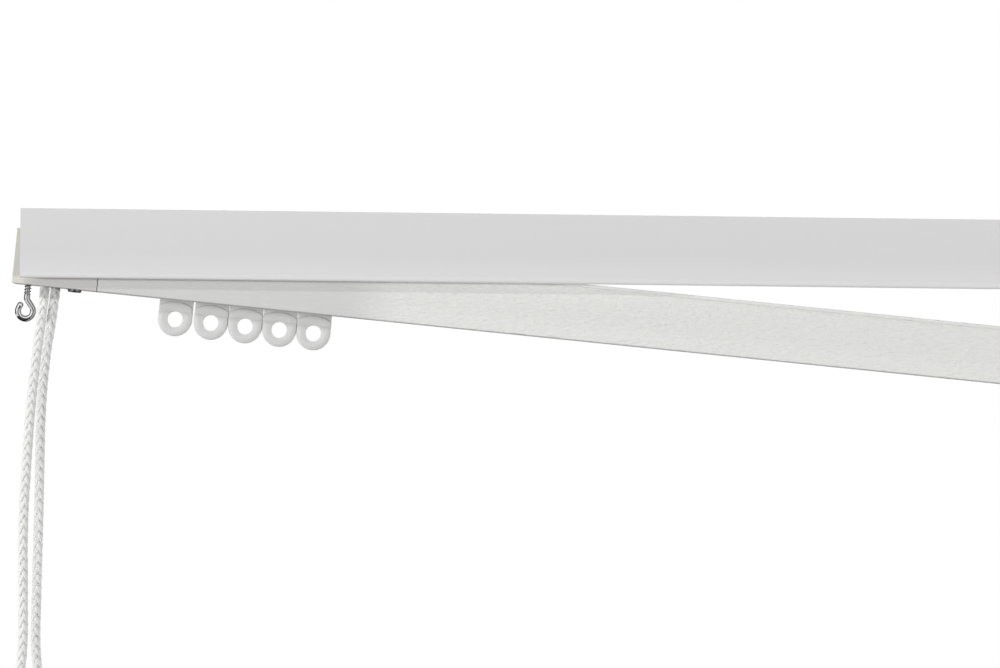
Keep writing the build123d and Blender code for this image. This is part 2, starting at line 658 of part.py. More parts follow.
# Wall brackets
z_arm = (z_top, z_top + ARM_THICKNESS)
z_plate = (z_bottom + PLATE_LOW, z_bottom + PLATE_LOW + PLATE_HEIGHT)
fascia_top = FASCIA_HEIGHT - FASCIA_BELOW_PIVOT
z_nose_top = z_pivot + fascia_top - FASCIA_LIP_THICKNESS - NOSE_BELOW_LIP
y_nose = (y_fascia_back + NOSE_GAP, y_fascia_back + NOSE_GAP + NOSE_THICKNESS)
y_lever = y_back + LEVER_PIVOT_GAP
z_lever = (z_top - LEVER_TOP_GAP - LEVER_THICKNESS, z_top - LEVER_TOP_GAP)
z_barb = (z_groove + (GROOVE_HEIGHT - BARB_HEIGHT) / 2, z_groove + (GROOVE_HEIGHT + BARB_HEIGHT) / 2)
rivet_hole_radius = RIVET_RADIUS + RIVET_CLEARANCE


def wall_bracket(x_middle):
    """Plate on the wall, arm over the rail, hook in the rail's groove and nose for the fascia."""
    with BuildPart() as bracket:
        x_plate = (x_middle - PLATE_WIDTH / 2, x_middle + PLATE_WIDTH / 2)
        x_arm = (x_middle - ARM_WIDTH / 2, x_middle + ARM_WIDTH / 2)
        block(x_plate, (-PLATE_THICKNESS, 0), z_plate)
        fillet(bracket.edges().filter_by(Axis.Y), PLATE_CORNER)
        block(x_arm, (y_nose[0], -PLATE_THICKNESS), z_arm)
        block(x_arm, y_nose, (z_top, z_nose_top))
        y_hook_plate = (y_front - HOOK_PLATE_GAP - HOOK_PLATE, y_front - HOOK_PLATE_GAP)
        block(x_arm, y_hook_plate, (z_barb[0], z_top))
        block(x_arm, (y_hook_plate[1], y_front + BARB_REACH), z_barb)
        for side in (-1, 1):
            x_gusset = x_middle + side * GUSSET_SPREAD / 2 - GUSSET_THICKNESS / 2
            with BuildSketch(section(x_gusset)):
                with BuildLine():
                    Polyline(
                        (-PLATE_THICKNESS, z_top),
                        (-PLATE_THICKNESS, z_top - GUSSET_HEIGHT),
                        (-PLATE_THICKNESS - GUSSET_REACH, z_top),
                        close=True,
                    )
                make_face()
            extrude(amount=GUSSET_THICKNESS)
        with Locations(upright(-PLATE_THICKNESS)):
            with Locations((x_middle, WALL_HOLE_SPACING / 2), (x_middle, -WALL_HOLE_SPACING / 2)):
                CounterSinkHole(WALL_HOLE_RADIUS, COUNTERSINK_RADIUS, depth=PLATE_THICKNESS)
        rod(Plane.XY.offset(z_top), x_middle, y_lever, rivet_hole_radius, ARM_THICKNESS, Mode.SUBTRACT)
    return bracket


def bracket_lever(x_middle):
    """Cam on a rivet below the arm, whose nose bears on the rail's rear groove."""
    half_angle = LEVER_NOSE_ANGLE / 2

    def nose(radius, z_span):
        with BuildSketch(Plane.XY.offset(z_span[0])) as wedge:
            with BuildLine():
                arc = CenterArc((x_middle, y_lever), radius, -90 - half_angle, LEVER_NOSE_ANGLE)
                Line(arc @ 1, (x_middle, y_lever))
                Line((x_middle, y_lever), arc @ 0)
            make_face()
        extrude(wedge.sketch, amount=z_span[1] - z_span[0])

    with BuildPart() as lever:
        rod(Plane.XY.offset(z_lever[0]), x_middle, y_lever, LEVER_HUB_RADIUS, LEVER_THICKNESS)
        nose(LEVER_PIVOT_GAP - LEVER_NOSE_GAP, z_lever)
        nose(LEVER_PIVOT_GAP + LEVER_BARB_REACH, z_barb)
        with BuildSketch(Plane.XY.offset(z_lever[0])):
            half = LEVER_HANDLE_WIDTH / 2
            patch((x_middle, x_middle + LEVER_HANDLE_LENGTH - half), (y_lever - half, y_lever + half))
            with Locations((x_middle + LEVER_HANDLE_LENGTH - half, y_lever)):
                Circle(half)
        extrude(amount=LEVER_THICKNESS)
        rod(Plane.XY.offset(z_lever[0]), x_middle, y_lever, rivet_hole_radius, LEVER_THICKNESS, Mode.SUBTRACT)
    return lever


for side, x_bracket in zip(("left", "right"), bracket_places):
    save(wall_bracket(x_bracket), f"wall_bracket_{side}")
    save(bracket_lever(x_bracket), f"bracket_lever_{side}")

with BuildPart() as lever_rivets:
    z_rivet_foot = z_lever[0] - RIVET_HEAD_GAP - RIVET_HEAD_HEIGHT
    rivet_length = z_arm[1] + RIVET_HEAD_HEIGHT - z_rivet_foot
    for x_rivet in bracket_places:
        rod(Plane.XY.offset(z_rivet_foot), x_rivet, y_lever, RIVET_RADIUS, rivet_length)
        rod(Plane.XY.offset(z_rivet_foot), x_rivet, y_lever, RIVET_HEAD_RADIUS, RIVET_HEAD_HEIGHT)
        rod(Plane.XY.offset(z_arm[1]), x_rivet, y_lever, RIVET_HEAD_RADIUS, RIVET_HEAD_HEIGHT)
save(lever_rivets, "lever_rivets")

# Fascia, its clip and its pivot, drawn square to the strip and swung open by the photographed angle
open_angle = radians(FASCIA_OPEN_ANGLE)
fascia_plane = Plane(
    origin=(x_pivot, 0, z_pivot),
    x_dir=(cos(open_angle), 0, sin(open_angle)),
    z_dir=(0, -1, 0),
)
fascia_span = (-FASCIA_LEFT_OF_PIVOT, TRACK_LENGTH - PIVOT_X - FASCIA_RIGHT_INSET)

with BuildPart() as fascia_strip:
    with BuildSketch(fascia_plane.offset(-y_fascia_back)):
        patch(fascia_span, (-FASCIA_BELOW_PIVOT, fascia_top))
    extrude(amount=FASCIA_THICKNESS)
    front_face = fascia_strip.faces().filter_by(Axis.Y).sort_by(Axis.Y)[0]
    fillet(front_face.edges().filter_by(lambda edge: edge.length > FASCIA_HEIGHT), FASCIA_EDGE)
    with BuildSketch(fascia_plane.offset(-y_fascia_back - FASCIA_LIP_REACH)):
        patch(fascia_span, (fascia_top - FASCIA_LIP_THICKNESS, fascia_top))
    extrude(amount=FASCIA_LIP_REACH)
save(fascia_strip, "fascia_strip")

clip_thickness = FASCIA_GAP - CLIP_GAP
with BuildPart() as fascia_clip:
    with BuildSketch(fascia_plane.offset(-y_fascia_back - clip_thickness)):
        Circle(CLIP_HUB_RADIUS)
        patch((0, FINGER_LENGTH), (-FINGER_HALF_HEIGHT, FINGER_HALF_HEIGHT))
        Circle(PIVOT_RADIUS + PIVOT_CLEARANCE, mode=Mode.SUBTRACT)
    extrude(amount=clip_thickness)
save(fascia_clip, "fascia_clip")

with BuildPart() as fascia_pivot_pin:
    y_head = y_front + HOUSING_WALL + PIVOT_HEAD_GAP + PIVOT_HEAD_THICKNESS
    rod(upright(y_head), x_pivot, z_pivot, PIVOT_RADIUS, y_head - y_fascia_back)
    rod(upright(y_head), x_pivot, z_pivot, PIVOT_HEAD_RADIUS, PIVOT_HEAD_THICKNESS)
save(fascia_pivot_pin, "fascia_pivot_pin")

# Free loop of the draw cord: two strands that hang from the housing to a tied hank.
# Each place is a distance from the left end, from the rail's middle and from its bottom.
FRONT_STRAND = (
    (FRONT_CORD_X, -LANE_OFFSET, 0.0),
    (FRONT_CORD_X, -LANE_OFFSET, -12.0),
    (12.7, -4.8, -32.0),
    (12.7, -5.0, -54.0),
    (13.5, -5.2, -77.0),
    (14.5, -5.4, -99.0),
    (17.6, -5.8, -127.0),
    (20.4, -6.2, -154.0),
    (17.3, -6.6, -174.0),
    (9.0, -6.9, -192.0),
)
REAR_STRAND = (
    (REAR_CORD_X, LANE_OFFSET, 0.0),
    (REAR_CORD_X, LANE_OFFSET, -10.0),
    (15.8, 4.7, -28.0),
    (16.2, 4.9, -52.0),
    (18.3, 5.2, -76.0),
    (20.1, 5.4, -99.0),
    (22.2, 5.9, -127.0),
    (24.3, 6.2, -154.0),
    (31.0, 6.6, -173.0),
    (43.0, 6.9, -190.0),
)


def hank_place(turn):
    """Place on the hank after a number of turns, down the left run and up the right one."""
    part_turn = turn % 1
    layer = min(floor(turn / HANK_TURNS_PER_LAYER + 1e-9), HANK_LAYERS - 1)
    turns_in_layer = turn - layer * HANK_TURNS_PER_LAYER
    inward = HANK_TURNS_PER_LAYER - turns_in_layer if layer % 2 == 0 else turns_in_layer
    half_width = HANK_INNER_HALF_WIDTH + HANK_STEP * inward
    climb = min(turns_in_layer / RUN_SHARE, 1.0) if layer else 1.0
    depth = (layer - (HANK_LAYERS - 1) / 2 - (1 - climb)) * HANK_LAYER_PITCH
    side = -1 if part_turn < 0.5 else 1
    along = (part_turn % 0.5) / RUN_SHARE
    if along <= 1:
        from_middle = (0.5 - along) * 2
        drawn_in = HANK_WAIST * (1 - from_middle**2) ** 2
        across = side * (half_width - drawn_in)
        height = HANK_RUN / 2 * from_middle * (1 if side < 0 else -1)
    else:
        bend = pi * (part_turn % 0.5 - RUN_SHARE) / (0.5 - RUN_SHARE)
        across = side * half_width * cos(bend)
        height = side * (HANK_RUN / 2 + half_width * sin(bend))
    return (HANK_CENTRE_X + across, depth, HANK_RUN_TOP - HANK_RUN / 2 + height)


def hank_turns():
    """Turn counts of the hank's points: quarters of each run and of each end bend."""
    turns = []
    last = (HANK_LAYERS - 1) * HANK_TURNS_PER_LAYER + HANK_LAST_TURNS
    half_turn = 0
    while half_turn / 2 < last:
        for quarter in range(4):
            turns.append(half_turn / 2 + RUN_SHARE * quarter / 4)
        for quarter in range(4):
            turns.append(half_turn / 2 + RUN_SHARE + (0.5 - RUN_SHARE) * quarter / 4)
        half_turn += 1
    return [turn for turn in turns if turn < last + 1e-6]


def placed(points):
    """Points of a strand in the track's own frame."""
    return [Vector(x_left + x, y_rail + y, z_bottom + z) for x, y, z in points]


def bend_radii(points):
    """Radius of the arc at each corner of a route, from the shorter run beside it."""
    radii = []
    for before, corner, after in zip(points, points[1:], points[2:]):
        turn = radians((corner - before).get_angle(after - corner))
        shorter = min((corner - before).length, (after - corner).length)
        radii.append(ARC_SHARE * shorter / tan(turn / 2))
    return radii


hank_points = placed([hank_place(turn) for turn in hank_turns()])
front_points = placed(FRONT_STRAND)
rear_points = placed(REAR_STRAND)
cut_front = (front_points[-1] + hank_points[0]) / 2
cut_rear = (rear_points[-1] + hank_points[-1]) / 2
cord_solids = {
    "pull_cord_front": front_points + [cut_front],
    "cord_hank": [cut_front] + hank_points + [cut_rear],
    "pull_cord_rear": rear_points + [cut_rear],
}
free_length = 0.0
for name, points in cord_solids.items():
    radii = bend_radii(points)
    with BuildPart() as cord_piece:
        with BuildLine() as cord_line:
            FilletPolyline(points, radius=radii)
        tube(cord_line.wire(), cord_radius)
    save(cord_piece, name)
    length = cord_line.wire().length
    free_length += length
    share = cord_piece.part.volume / (pi * cord_radius**2 * length)
    print(f"{name}: length {length:.0f} mm, volume over section times length {share:.4f}")
    print("  radii", " ".join(f"{radius:.0f}" for radius in radii))
    if name == "cord_hank":
        steps = int(length)
        samples = [tuple(cord_line.wire() @ (step / steps)) for step in range(steps + 1)]
        apart = int(pi * CORD_DIAMETER)
        later = [samples[number + apart :] for number in range(steps - apart)]
        least = min(dist(here, there) for here, others in zip(samples, later) for there in others)
        print(f"  least gap of the hank to itself {least - CORD_DIAMETER:.2f} mm")
        x_hank = x_left + HANK_CENTRE_X
        z_waist = z_bottom + HANK_RUN_TOP - HANK_RUN / 2
        in_tie = [x for x, _, z in samples if abs(z - z_waist) < TIE_HEIGHT / 2 + cord_radius]
        tie_half_width = max(abs(x - x_hank) for x in in_tie) + cord_radius + TIE_GAP
print(f"free loop of the cord: {free_length:.0f} mm")

# Tie round the waist of the hank
tie_half_depth = (HANK_LAYERS - 1) / 2 * HANK_LAYER_PITCH + cord_radius + TIE_GAP
tie_corner = cord_radius + TIE_GAP
with BuildPart() as hank_tie:
    with BuildSketch(Plane.XY.offset(z_waist - TIE_HEIGHT / 2)):
        with Locations((x_hank, y_rail)):
            RectangleRounded(
                2 * (tie_half_width + TIE_THICKNESS),
                2 * (tie_half_depth + TIE_THICKNESS),
                tie_corner + TIE_THICKNESS,
            )
            RectangleRounded(2 * tie_half_width, 2 * tie_half_depth, tie_corner, mode=Mode.SUBTRACT)
    extrude(amount=TIE_HEIGHT)
save(hank_tie, "hank_tie")
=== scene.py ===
from math import atan2, cos, floor, pi, radians, sin, sqrt

import bmesh
import bpy
import numpy as np
from mathutils import Matrix, Vector


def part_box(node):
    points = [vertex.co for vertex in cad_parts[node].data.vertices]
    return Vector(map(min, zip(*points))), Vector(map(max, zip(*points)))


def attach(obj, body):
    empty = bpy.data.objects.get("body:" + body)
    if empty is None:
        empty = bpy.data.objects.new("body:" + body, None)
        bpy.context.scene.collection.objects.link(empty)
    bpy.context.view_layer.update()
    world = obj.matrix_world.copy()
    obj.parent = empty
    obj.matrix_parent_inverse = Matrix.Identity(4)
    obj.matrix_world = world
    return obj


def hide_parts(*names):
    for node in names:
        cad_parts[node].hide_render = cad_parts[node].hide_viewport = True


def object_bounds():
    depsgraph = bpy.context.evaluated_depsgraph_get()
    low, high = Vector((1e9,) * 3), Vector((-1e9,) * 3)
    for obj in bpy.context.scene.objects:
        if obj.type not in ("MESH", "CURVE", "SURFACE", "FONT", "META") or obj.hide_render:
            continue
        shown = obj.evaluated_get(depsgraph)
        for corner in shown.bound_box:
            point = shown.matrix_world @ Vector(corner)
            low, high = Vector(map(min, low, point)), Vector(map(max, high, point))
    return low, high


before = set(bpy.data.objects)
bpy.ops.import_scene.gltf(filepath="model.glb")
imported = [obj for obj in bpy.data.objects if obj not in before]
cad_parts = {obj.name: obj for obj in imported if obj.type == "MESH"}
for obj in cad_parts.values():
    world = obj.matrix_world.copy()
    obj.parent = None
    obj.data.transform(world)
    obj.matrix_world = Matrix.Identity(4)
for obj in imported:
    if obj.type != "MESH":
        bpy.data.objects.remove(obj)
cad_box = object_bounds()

# Lengths below are in millimetres unless a name says otherwise, and MM turns them into the frame's metres.
MM = 0.001

# Places read from the frame
housing_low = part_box("end_housing_left")[0]
rail_low, rail_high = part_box("track_rail")
x_left = housing_low.x
z_bottom = rail_low.z
y_rail = (rail_low.y + rail_high.y) / 2

# Camera, at the photograph's angle: before the track's front, a little below it and rolled
PHOTO_WIDTH_PX = 1000
PX_PER_MM = 2.44
SENSOR_WIDTH = 36.0
CAMERA_FROM_RAIL_FRONT = 2400.0
AIM_FROM_LEFT_END = 201.3
AIM_ABOVE_RAIL_BOTTOM = -0.68
CAMERA_BELOW = radians(1.2)
CAMERA_ROLL = radians(5.81)
CLIP_START = 0.01

# Free cord: the route of the CAD strands and hank
LANE_OFFSET = 4.6
FRONT_CORD_X = 13.4
REAR_CORD_X = 17.1
FRONT_STRAND = (
    (FRONT_CORD_X, -LANE_OFFSET, 0.0),
    (FRONT_CORD_X, -LANE_OFFSET, -12.0),
    (12.7, -4.8, -32.0),
    (12.7, -5.0, -54.0),
    (13.5, -5.2, -77.0),
    (14.5, -5.4, -99.0),
    (17.6, -5.8, -127.0),
    (20.4, -6.2, -154.0),
    (17.3, -6.6, -174.0),
    (9.0, -6.9, -192.0),
)
REAR_STRAND = (
    (REAR_CORD_X, LANE_OFFSET, 0.0),
    (REAR_CORD_X, LANE_OFFSET, -10.0),
    (15.8, 4.7, -28.0),
    (16.2, 4.9, -52.0),
    (18.3, 5.2, -76.0),
    (20.1, 5.4, -99.0),
    (22.2, 5.9, -127.0),
    (24.3, 6.2, -154.0),
    (31.0, 6.6, -173.0),
    (43.0, 6.9, -190.0),
)
HANK_CENTRE_X = 26.4
HANK_RUN_TOP = -214.0
HANK_RUN = 66.0
HANK_INNER_HALF_WIDTH = 14.5
HANK_STEP = 5.0
HANK_LAYER_PITCH = 4.6
HANK_LAYERS = 4
HANK_TURNS_PER_LAYER = 1.5
HANK_LAST_TURNS = 1.2
HANK_WAIST = 10.0
RUN_SHARE = 0.2
ROUTE_RESOLUTION = 16

# Braid of the cord: eight flat strands, four each way, each over two and under two
BRAID_LAY = 17.2
BRAID_STRANDS_EACH_WAY = 4
BRAID_DIAMETER = 4.4
STRAND_HALF_WIDTH = 1.16
STRAND_HALF_THICKNESS = 0.57
STRAND_WAVE = 0.32
WAVE_SHARPNESS = 1.2
BRAID_TURNED_FRONT = radians(-67.5)
BRAID_TURNED_REAR = radians(22.5)
STRAND_SIDES = 7
CORE_RADIUS = 1.3
STEP_IN_VIEW = 0.6
STEP_IN_HANK = 1.5
FIBRE_ROW_SHIFT = 7

# Rail's section, from its bottom and from its middle
RAIL_WALL = 1.2
SLOT_WIDTH = 5.0
SLOT_ROUND = 0.3
LEDGE_HEIGHT = 5.0
LEDGE_THICKNESS = 0.8
LEDGE_REACH = 2.0
WEB_HALF = 0.5
WEB_DROP = 6.8
RIB_HEIGHT = 1.7
TOP_RIB_WIDTH = 3.5
GROOVE_BELOW = 0.5
GROOVE_DEPTH = 0.6
GROOVE_HEIGHT = 0.8
GROOVE_FOOT_ROUND = 0.15
GROOVE_TOP_ROUND = 0.25
RIB_ROUND = 0.2
EDGE_ROUND = 0.45
LIP_HEIGHT = 1.6
LIP_SLOPE = 0.16
CORNER_STEPS = 5
BAR_SHARP_ANGLE = radians(32)

# Strip in front, square to itself and then turned about its pivot
FASCIA_OPEN_ANGLE = radians(5.13)
PIVOT_X = 7.8
PIVOT_HEIGHT = 15.0
FASCIA_HEIGHT = 28.4
FASCIA_BELOW_PIVOT = 12.23
FASCIA_LEFT_OF_PIVOT = 5.4
FASCIA_RIGHT_INSET = 3.5
FASCIA_THICKNESS = 1.6
FASCIA_LIP_REACH = 6.0
FASCIA_LIP_THICKNESS = 1.4
FASCIA_EDGE = 0.4
FASCIA_BACK_EDGE = 0.2
FASCIA_LIP_EDGE = 0.3
FASCIA_FOOT_ROUND = 1.0
FASCIA_LINE_HEIGHT = 1.9
FASCIA_LINE_WIDTH = 0.65
FASCIA_LINE_START = 0.15
FASCIA_LINE_END = 0.4
FASCIA_LINE_DEPTH = 0.07

# Strip's pivot, and its level once the frame is turned with the strip
pivot_x = x_left + PIVOT_X * MM
pivot_z = z_bottom + PIVOT_HEIGHT * MM
pivot_level = pivot_z * cos(FASCIA_OPEN_ANGLE) - pivot_x * sin(FASCIA_OPEN_ANGLE)

# Gliders
GLIDER_WIDTH = 13.85
GLIDER_BOSS = 5.2
GLIDER_PLATE = 3.2
EYE_RADIUS = 3.15
EYE_LOWER = 0.3
EYE_DROP = 7.9
BOSS_TOP_DROP = 0.8
BOSS_ARCH = 2.1
BOSS_ROUND = 0.4
FACE_FALL = 0.55
EYE_ROUND = 0.3
EYE_DISH = 0.45
CREASE_DROP = 5.05
CREASE_DEPTH = 0.3
CREASE_HALF_WIDTH = 0.27
ARCH_LEAN = 0.45
ARCH_LEAN_SPAN = 4.2
EYE_STEPS = 160
FACE_STEPS = 24
ROUND_STEPS = 5
WALL_DRAFT = 0.13
PLATE_EDGE = 0.25
PLATE_INTO_BOSS = 1.5
PLATE_INTO_RAIL = 0.4
HEAD_LENGTH = 12.4
HEAD_CLEARANCE = 0.1
HEAD_EDGE = 0.4
GLIDER_SHARP_ANGLE = radians(40)

# Screw hook
HOOK_X = 6.1
HOOK_WIRE_RADIUS = 1.25
HOOK_RING_RADIUS = 3.1
HOOK_RING_DROP = 10.9
HOOK_BEND_RADIUS = 2.4
HOOK_LEAN = radians(38.0)
HOOK_RING_TURN = radians(240.0)
HOOK_TIP = 2.5
HOOK_TIP_ROUND = 0.45
HOOK_TIP_LEAST = 0.3
HOOK_SIDES = 40
HOOK_BEND_STEPS = 6
HOOK_SLANT_STEPS = 5
HOOK_RING_STEPS = 40
HOOK_TIP_STEPS = 3
HOOK_SHARP_ANGLE = radians(60)
THREAD_RADIUS = 1.6
THREAD_CORE = 1.0
THREAD_PITCH = 1.25
THREAD_TIP = 0.0
THREAD_FOOT = 0.34
THREAD_TOP = 8.0
THREAD_BELOW = 3.9
THREAD_FADE = 0.7
THREAD_STEPS = 24

# Tie of the hank: the levels are shares of its half height
TIE_CORNER = 3.5
TIE_CORNER_STEPS = 8
TIE_THICKNESS = 1.0
TIE_BULGE = 0.21
TIE_LEVELS = (-1.0, -0.92, -0.6, -0.2, 0.2, 0.6, 0.92, 1.0)

# Surfaces: tones are shares of a colour, shares are parts of a blend
RAIL_LEFT_TONE = 0.825
RAIL_RIGHT_TONE = 1.04
RAIL_TONE_START = 135.0
RAIL_TONE_END = 163.0
RAIL_RIGHT_SHARE = 0.73
RAIL_MOTTLE_SHARE = 0.08
# Painted light: the rail's lower face is paler
RAIL_FOOT_PAINTED_LIGHT_SHARE = 0.24
RAIL_FOOT_PAINTED_LIGHT_START = 10.0
RAIL_FOOT_PAINTED_LIGHT_END = 3.0
RAIL_PEEL_LEFT = 0.25
RAIL_PEEL_DEPTH = 0.62
# Painted light: the strip is paler towards its foot
FASCIA_FOOT_PAINTED_LIGHT_SHARE = 0.75
FASCIA_FOOT_PAINTED_LIGHT_START = 12.0
FASCIA_FOOT_PAINTED_LIGHT_END = 3.0
# Painted light on the housing's outer end
HOUSING_END_PAINTED_LIGHT_START = 2.5
HOUSING_END_PAINTED_LIGHT_END = 11.0
# Painted shade on the glider neck just under the rail
NECK_PAINTED_SHADE = 0.72
NECK_PAINTED_SHADE_DROP = 3.4
# Painted shadow on the cords' tops just below the housing
CORD_TOP_PAINTED_SHADE = 0.6
CORD_TOP_PAINTED_SHADE_START = 4.4
CORD_TOP_PAINTED_SHADE_END = 5.1
CORD_FILAMENT_SHARE = 0.25
HELD_BRAID_PITCH = 2.1
HELD_BRAID_SCALE = 0.5
HELD_BRAID_LEAN = radians(30)
TIE_WEAVE = (("X", 0.7), ("Z", 0.9))
TIE_WEAVE_SCALE = 0.314
NOISE_LOW = 0.3
NOISE_HIGH = 0.7

# Floor
FLOOR_BELOW = 60.0
FLOOR_HALF_WIDTH = 4000.0
FLOOR_COLOR = (0.6, 0.6, 0.6, 1.0)
FLOOR_GLOW = 0.35

# Lights, in metres and watts: place from what they aim at, width, height and power
WHITE = (1.0, 1.0, 1.0, 1.0)
WORLD_LIGHT = 0.11
LIGHT_AIM = Vector((0.13, -0.05, -0.02))
LIGHTS = {
    "key": ((-1.5, -3.0, 2.6), 0.25, 0.25, 34.0),
    "left_strip": ((-6.06, -3.5, -0.11), 3.2, 0.5, 383.0),
    "right_strip": ((6.06, -3.5, -0.11), 3.2, 0.5, 242.0),
    "back_box": ((2.0, 5.0, 1.5), 2.0, 2.0, 160.0),
    "top_box": ((0.1, 0.3, 4.0), 1.2, 1.2, 45.0),
}

# Dark cards, in metres from what the lights aim at, and the last one's drop below the object
CARD_SIDES = 24
FRONT_CARD_Y = -2.0
FRONT_CARD_RADIUS = 0.7
TUNNEL_RADIUS = 1.2
TUNNEL_START = -0.25
TUNNEL_END = 4.5
FLOOR_CARD_BELOW = 0.05
FLOOR_CARD = ((-0.7, -1.6), (0.9, -1.6), (0.9, 1.0), (-0.7, 1.0))


def metres(*lengths):
    """Lengths in millimetres as a vector in metres."""
    return Vector([length * MM for length in lengths])


def placed(point):
    """A place given from the left end, from the rail's middle and from its bottom."""
    x, y, z = point
    return Vector((x_left, y_rail, z_bottom)) + metres(x, y, z)


# Cord route
def hank_place(turn):
    """Place on the hank after a number of turns, down the left run and up the right one."""
    part_turn = turn % 1
    layer = min(floor(turn / HANK_TURNS_PER_LAYER + 1e-9), HANK_LAYERS - 1)
    turns_in_layer = turn - layer * HANK_TURNS_PER_LAYER
    inward = HANK_TURNS_PER_LAYER - turns_in_layer if layer % 2 == 0 else turns_in_layer
    half_width = HANK_INNER_HALF_WIDTH + HANK_STEP * inward
    climb = min(turns_in_layer / RUN_SHARE, 1.0) if layer else 1.0
    depth = (layer - (HANK_LAYERS - 1) / 2 - (1 - climb)) * HANK_LAYER_PITCH
    side = -1 if part_turn < 0.5 else 1
    along = (part_turn % 0.5) / RUN_SHARE
    if along <= 1:
        from_middle = (0.5 - along) * 2
        drawn_in = HANK_WAIST * (1 - from_middle**2) ** 2
        across = side * (half_width - drawn_in)
        height = HANK_RUN / 2 * from_middle * (1 if side < 0 else -1)
    else:
        bend = pi * (part_turn % 0.5 - RUN_SHARE) / (0.5 - RUN_SHARE)
        across = side * half_width * cos(bend)
        height = side * (HANK_RUN / 2 + half_width * sin(bend))
    return (HANK_CENTRE_X + across, depth, HANK_RUN_TOP - HANK_RUN / 2 + height)


def hank_turns():
    """Turn counts of the hank's points: quarters of each run and of each end bend."""
    turns = []
    last = (HANK_LAYERS - 1) * HANK_TURNS_PER_LAYER + HANK_LAST_TURNS
    half_turn = 0
    while half_turn / 2 < last:
        for quarter in range(4):
            turns.append(half_turn / 2 + RUN_SHARE * quarter / 4)
        for quarter in range(4):
            turns.append(half_turn / 2 + RUN_SHARE + (0.5 - RUN_SHARE) * quarter / 4)
        half_turn += 1
    return [turn for turn in turns if turn < last + 1e-6]


def nurbs_line(points, resolution):
    """Points along one smooth open NURBS spline with these control points."""
    curve = bpy.data.curves.new("route", "CURVE")
    curve.dimensions = "3D"
    spline = curve.splines.new("NURBS")
    spline.points.add(len(points) - 1)
    for target, point in zip(spline.points, points):
        target.co = (*point, 1.0)
    spline.order_u = 3
    spline.use_endpoint_u = True
    spline.resolution_u = resolution
    holder = bpy.data.objects.new("route", curve)
    bpy.context.scene.collection.objects.link(holder)
    bpy.context.view_layer.update()
    mesh = bpy.data.meshes.new_from_object(holder)
    line = np.array([vertex.co for vertex in mesh.vertices], float)
    bpy.data.objects.remove(holder)
    bpy.data.curves.remove(curve)
    bpy.data.meshes.remove(mesh)
    return line


def lengths_along(line):
    """Distance from the start to each point of a line."""
    steps = np.linalg.norm(np.diff(line, axis=0), axis=1)
    return np.concatenate(([0.0], np.cumsum(steps)))


def sampled(places, reach, vectors):
    """Vectors at some distances along a line, from those at its points."""
    return np.stack([np.interp(places, reach, vectors[:, axis]) for axis in range(3)], -1)


def front_frames(line):
    """Two directions across a line at each of its points: sideways, and towards the front."""
    along = np.gradient(line, axis=0)
    along /= np.linalg.norm(along, axis=1)[:, None]
    front = np.array((0.0, -1.0, 0.0))
    towards = front - along * (along @ front)[:, None]
    towards /= np.linalg.norm(towards, axis=1)[:, None]
    return np.cross(towards, along), towards


def mesh_object(name, corners, faces, smooth=True):
    """New object from arrays of corners and faces."""
    mesh = bpy.data.meshes.new(name)
    faces = faces.tolist() if isinstance(faces, np.ndarray) else faces
    mesh.from_pydata(np.asarray(corners).tolist(), [], faces)
    mesh.validate()
    mesh.update()
    if smooth:
        mesh.shade_smooth()
    else:
        mesh.shade_flat()
    piece = bpy.data.objects.new(name, mesh)
    bpy.context.scene.collection.objects.link(piece)
    return piece


def grid_faces(rows, columns, offset=0):
    """Quads of a tube whose rings follow each other, with each ring closed."""
    ring = np.arange(columns)
    following = np.roll(ring, -1)
    start = (np.arange(rows - 1) * columns)[:, None]
    faces = np.stack(
        (start + ring, start + following, start + columns + following, start + columns + ring), axis=-1
    )
    return faces.reshape(-1, 4) + offset


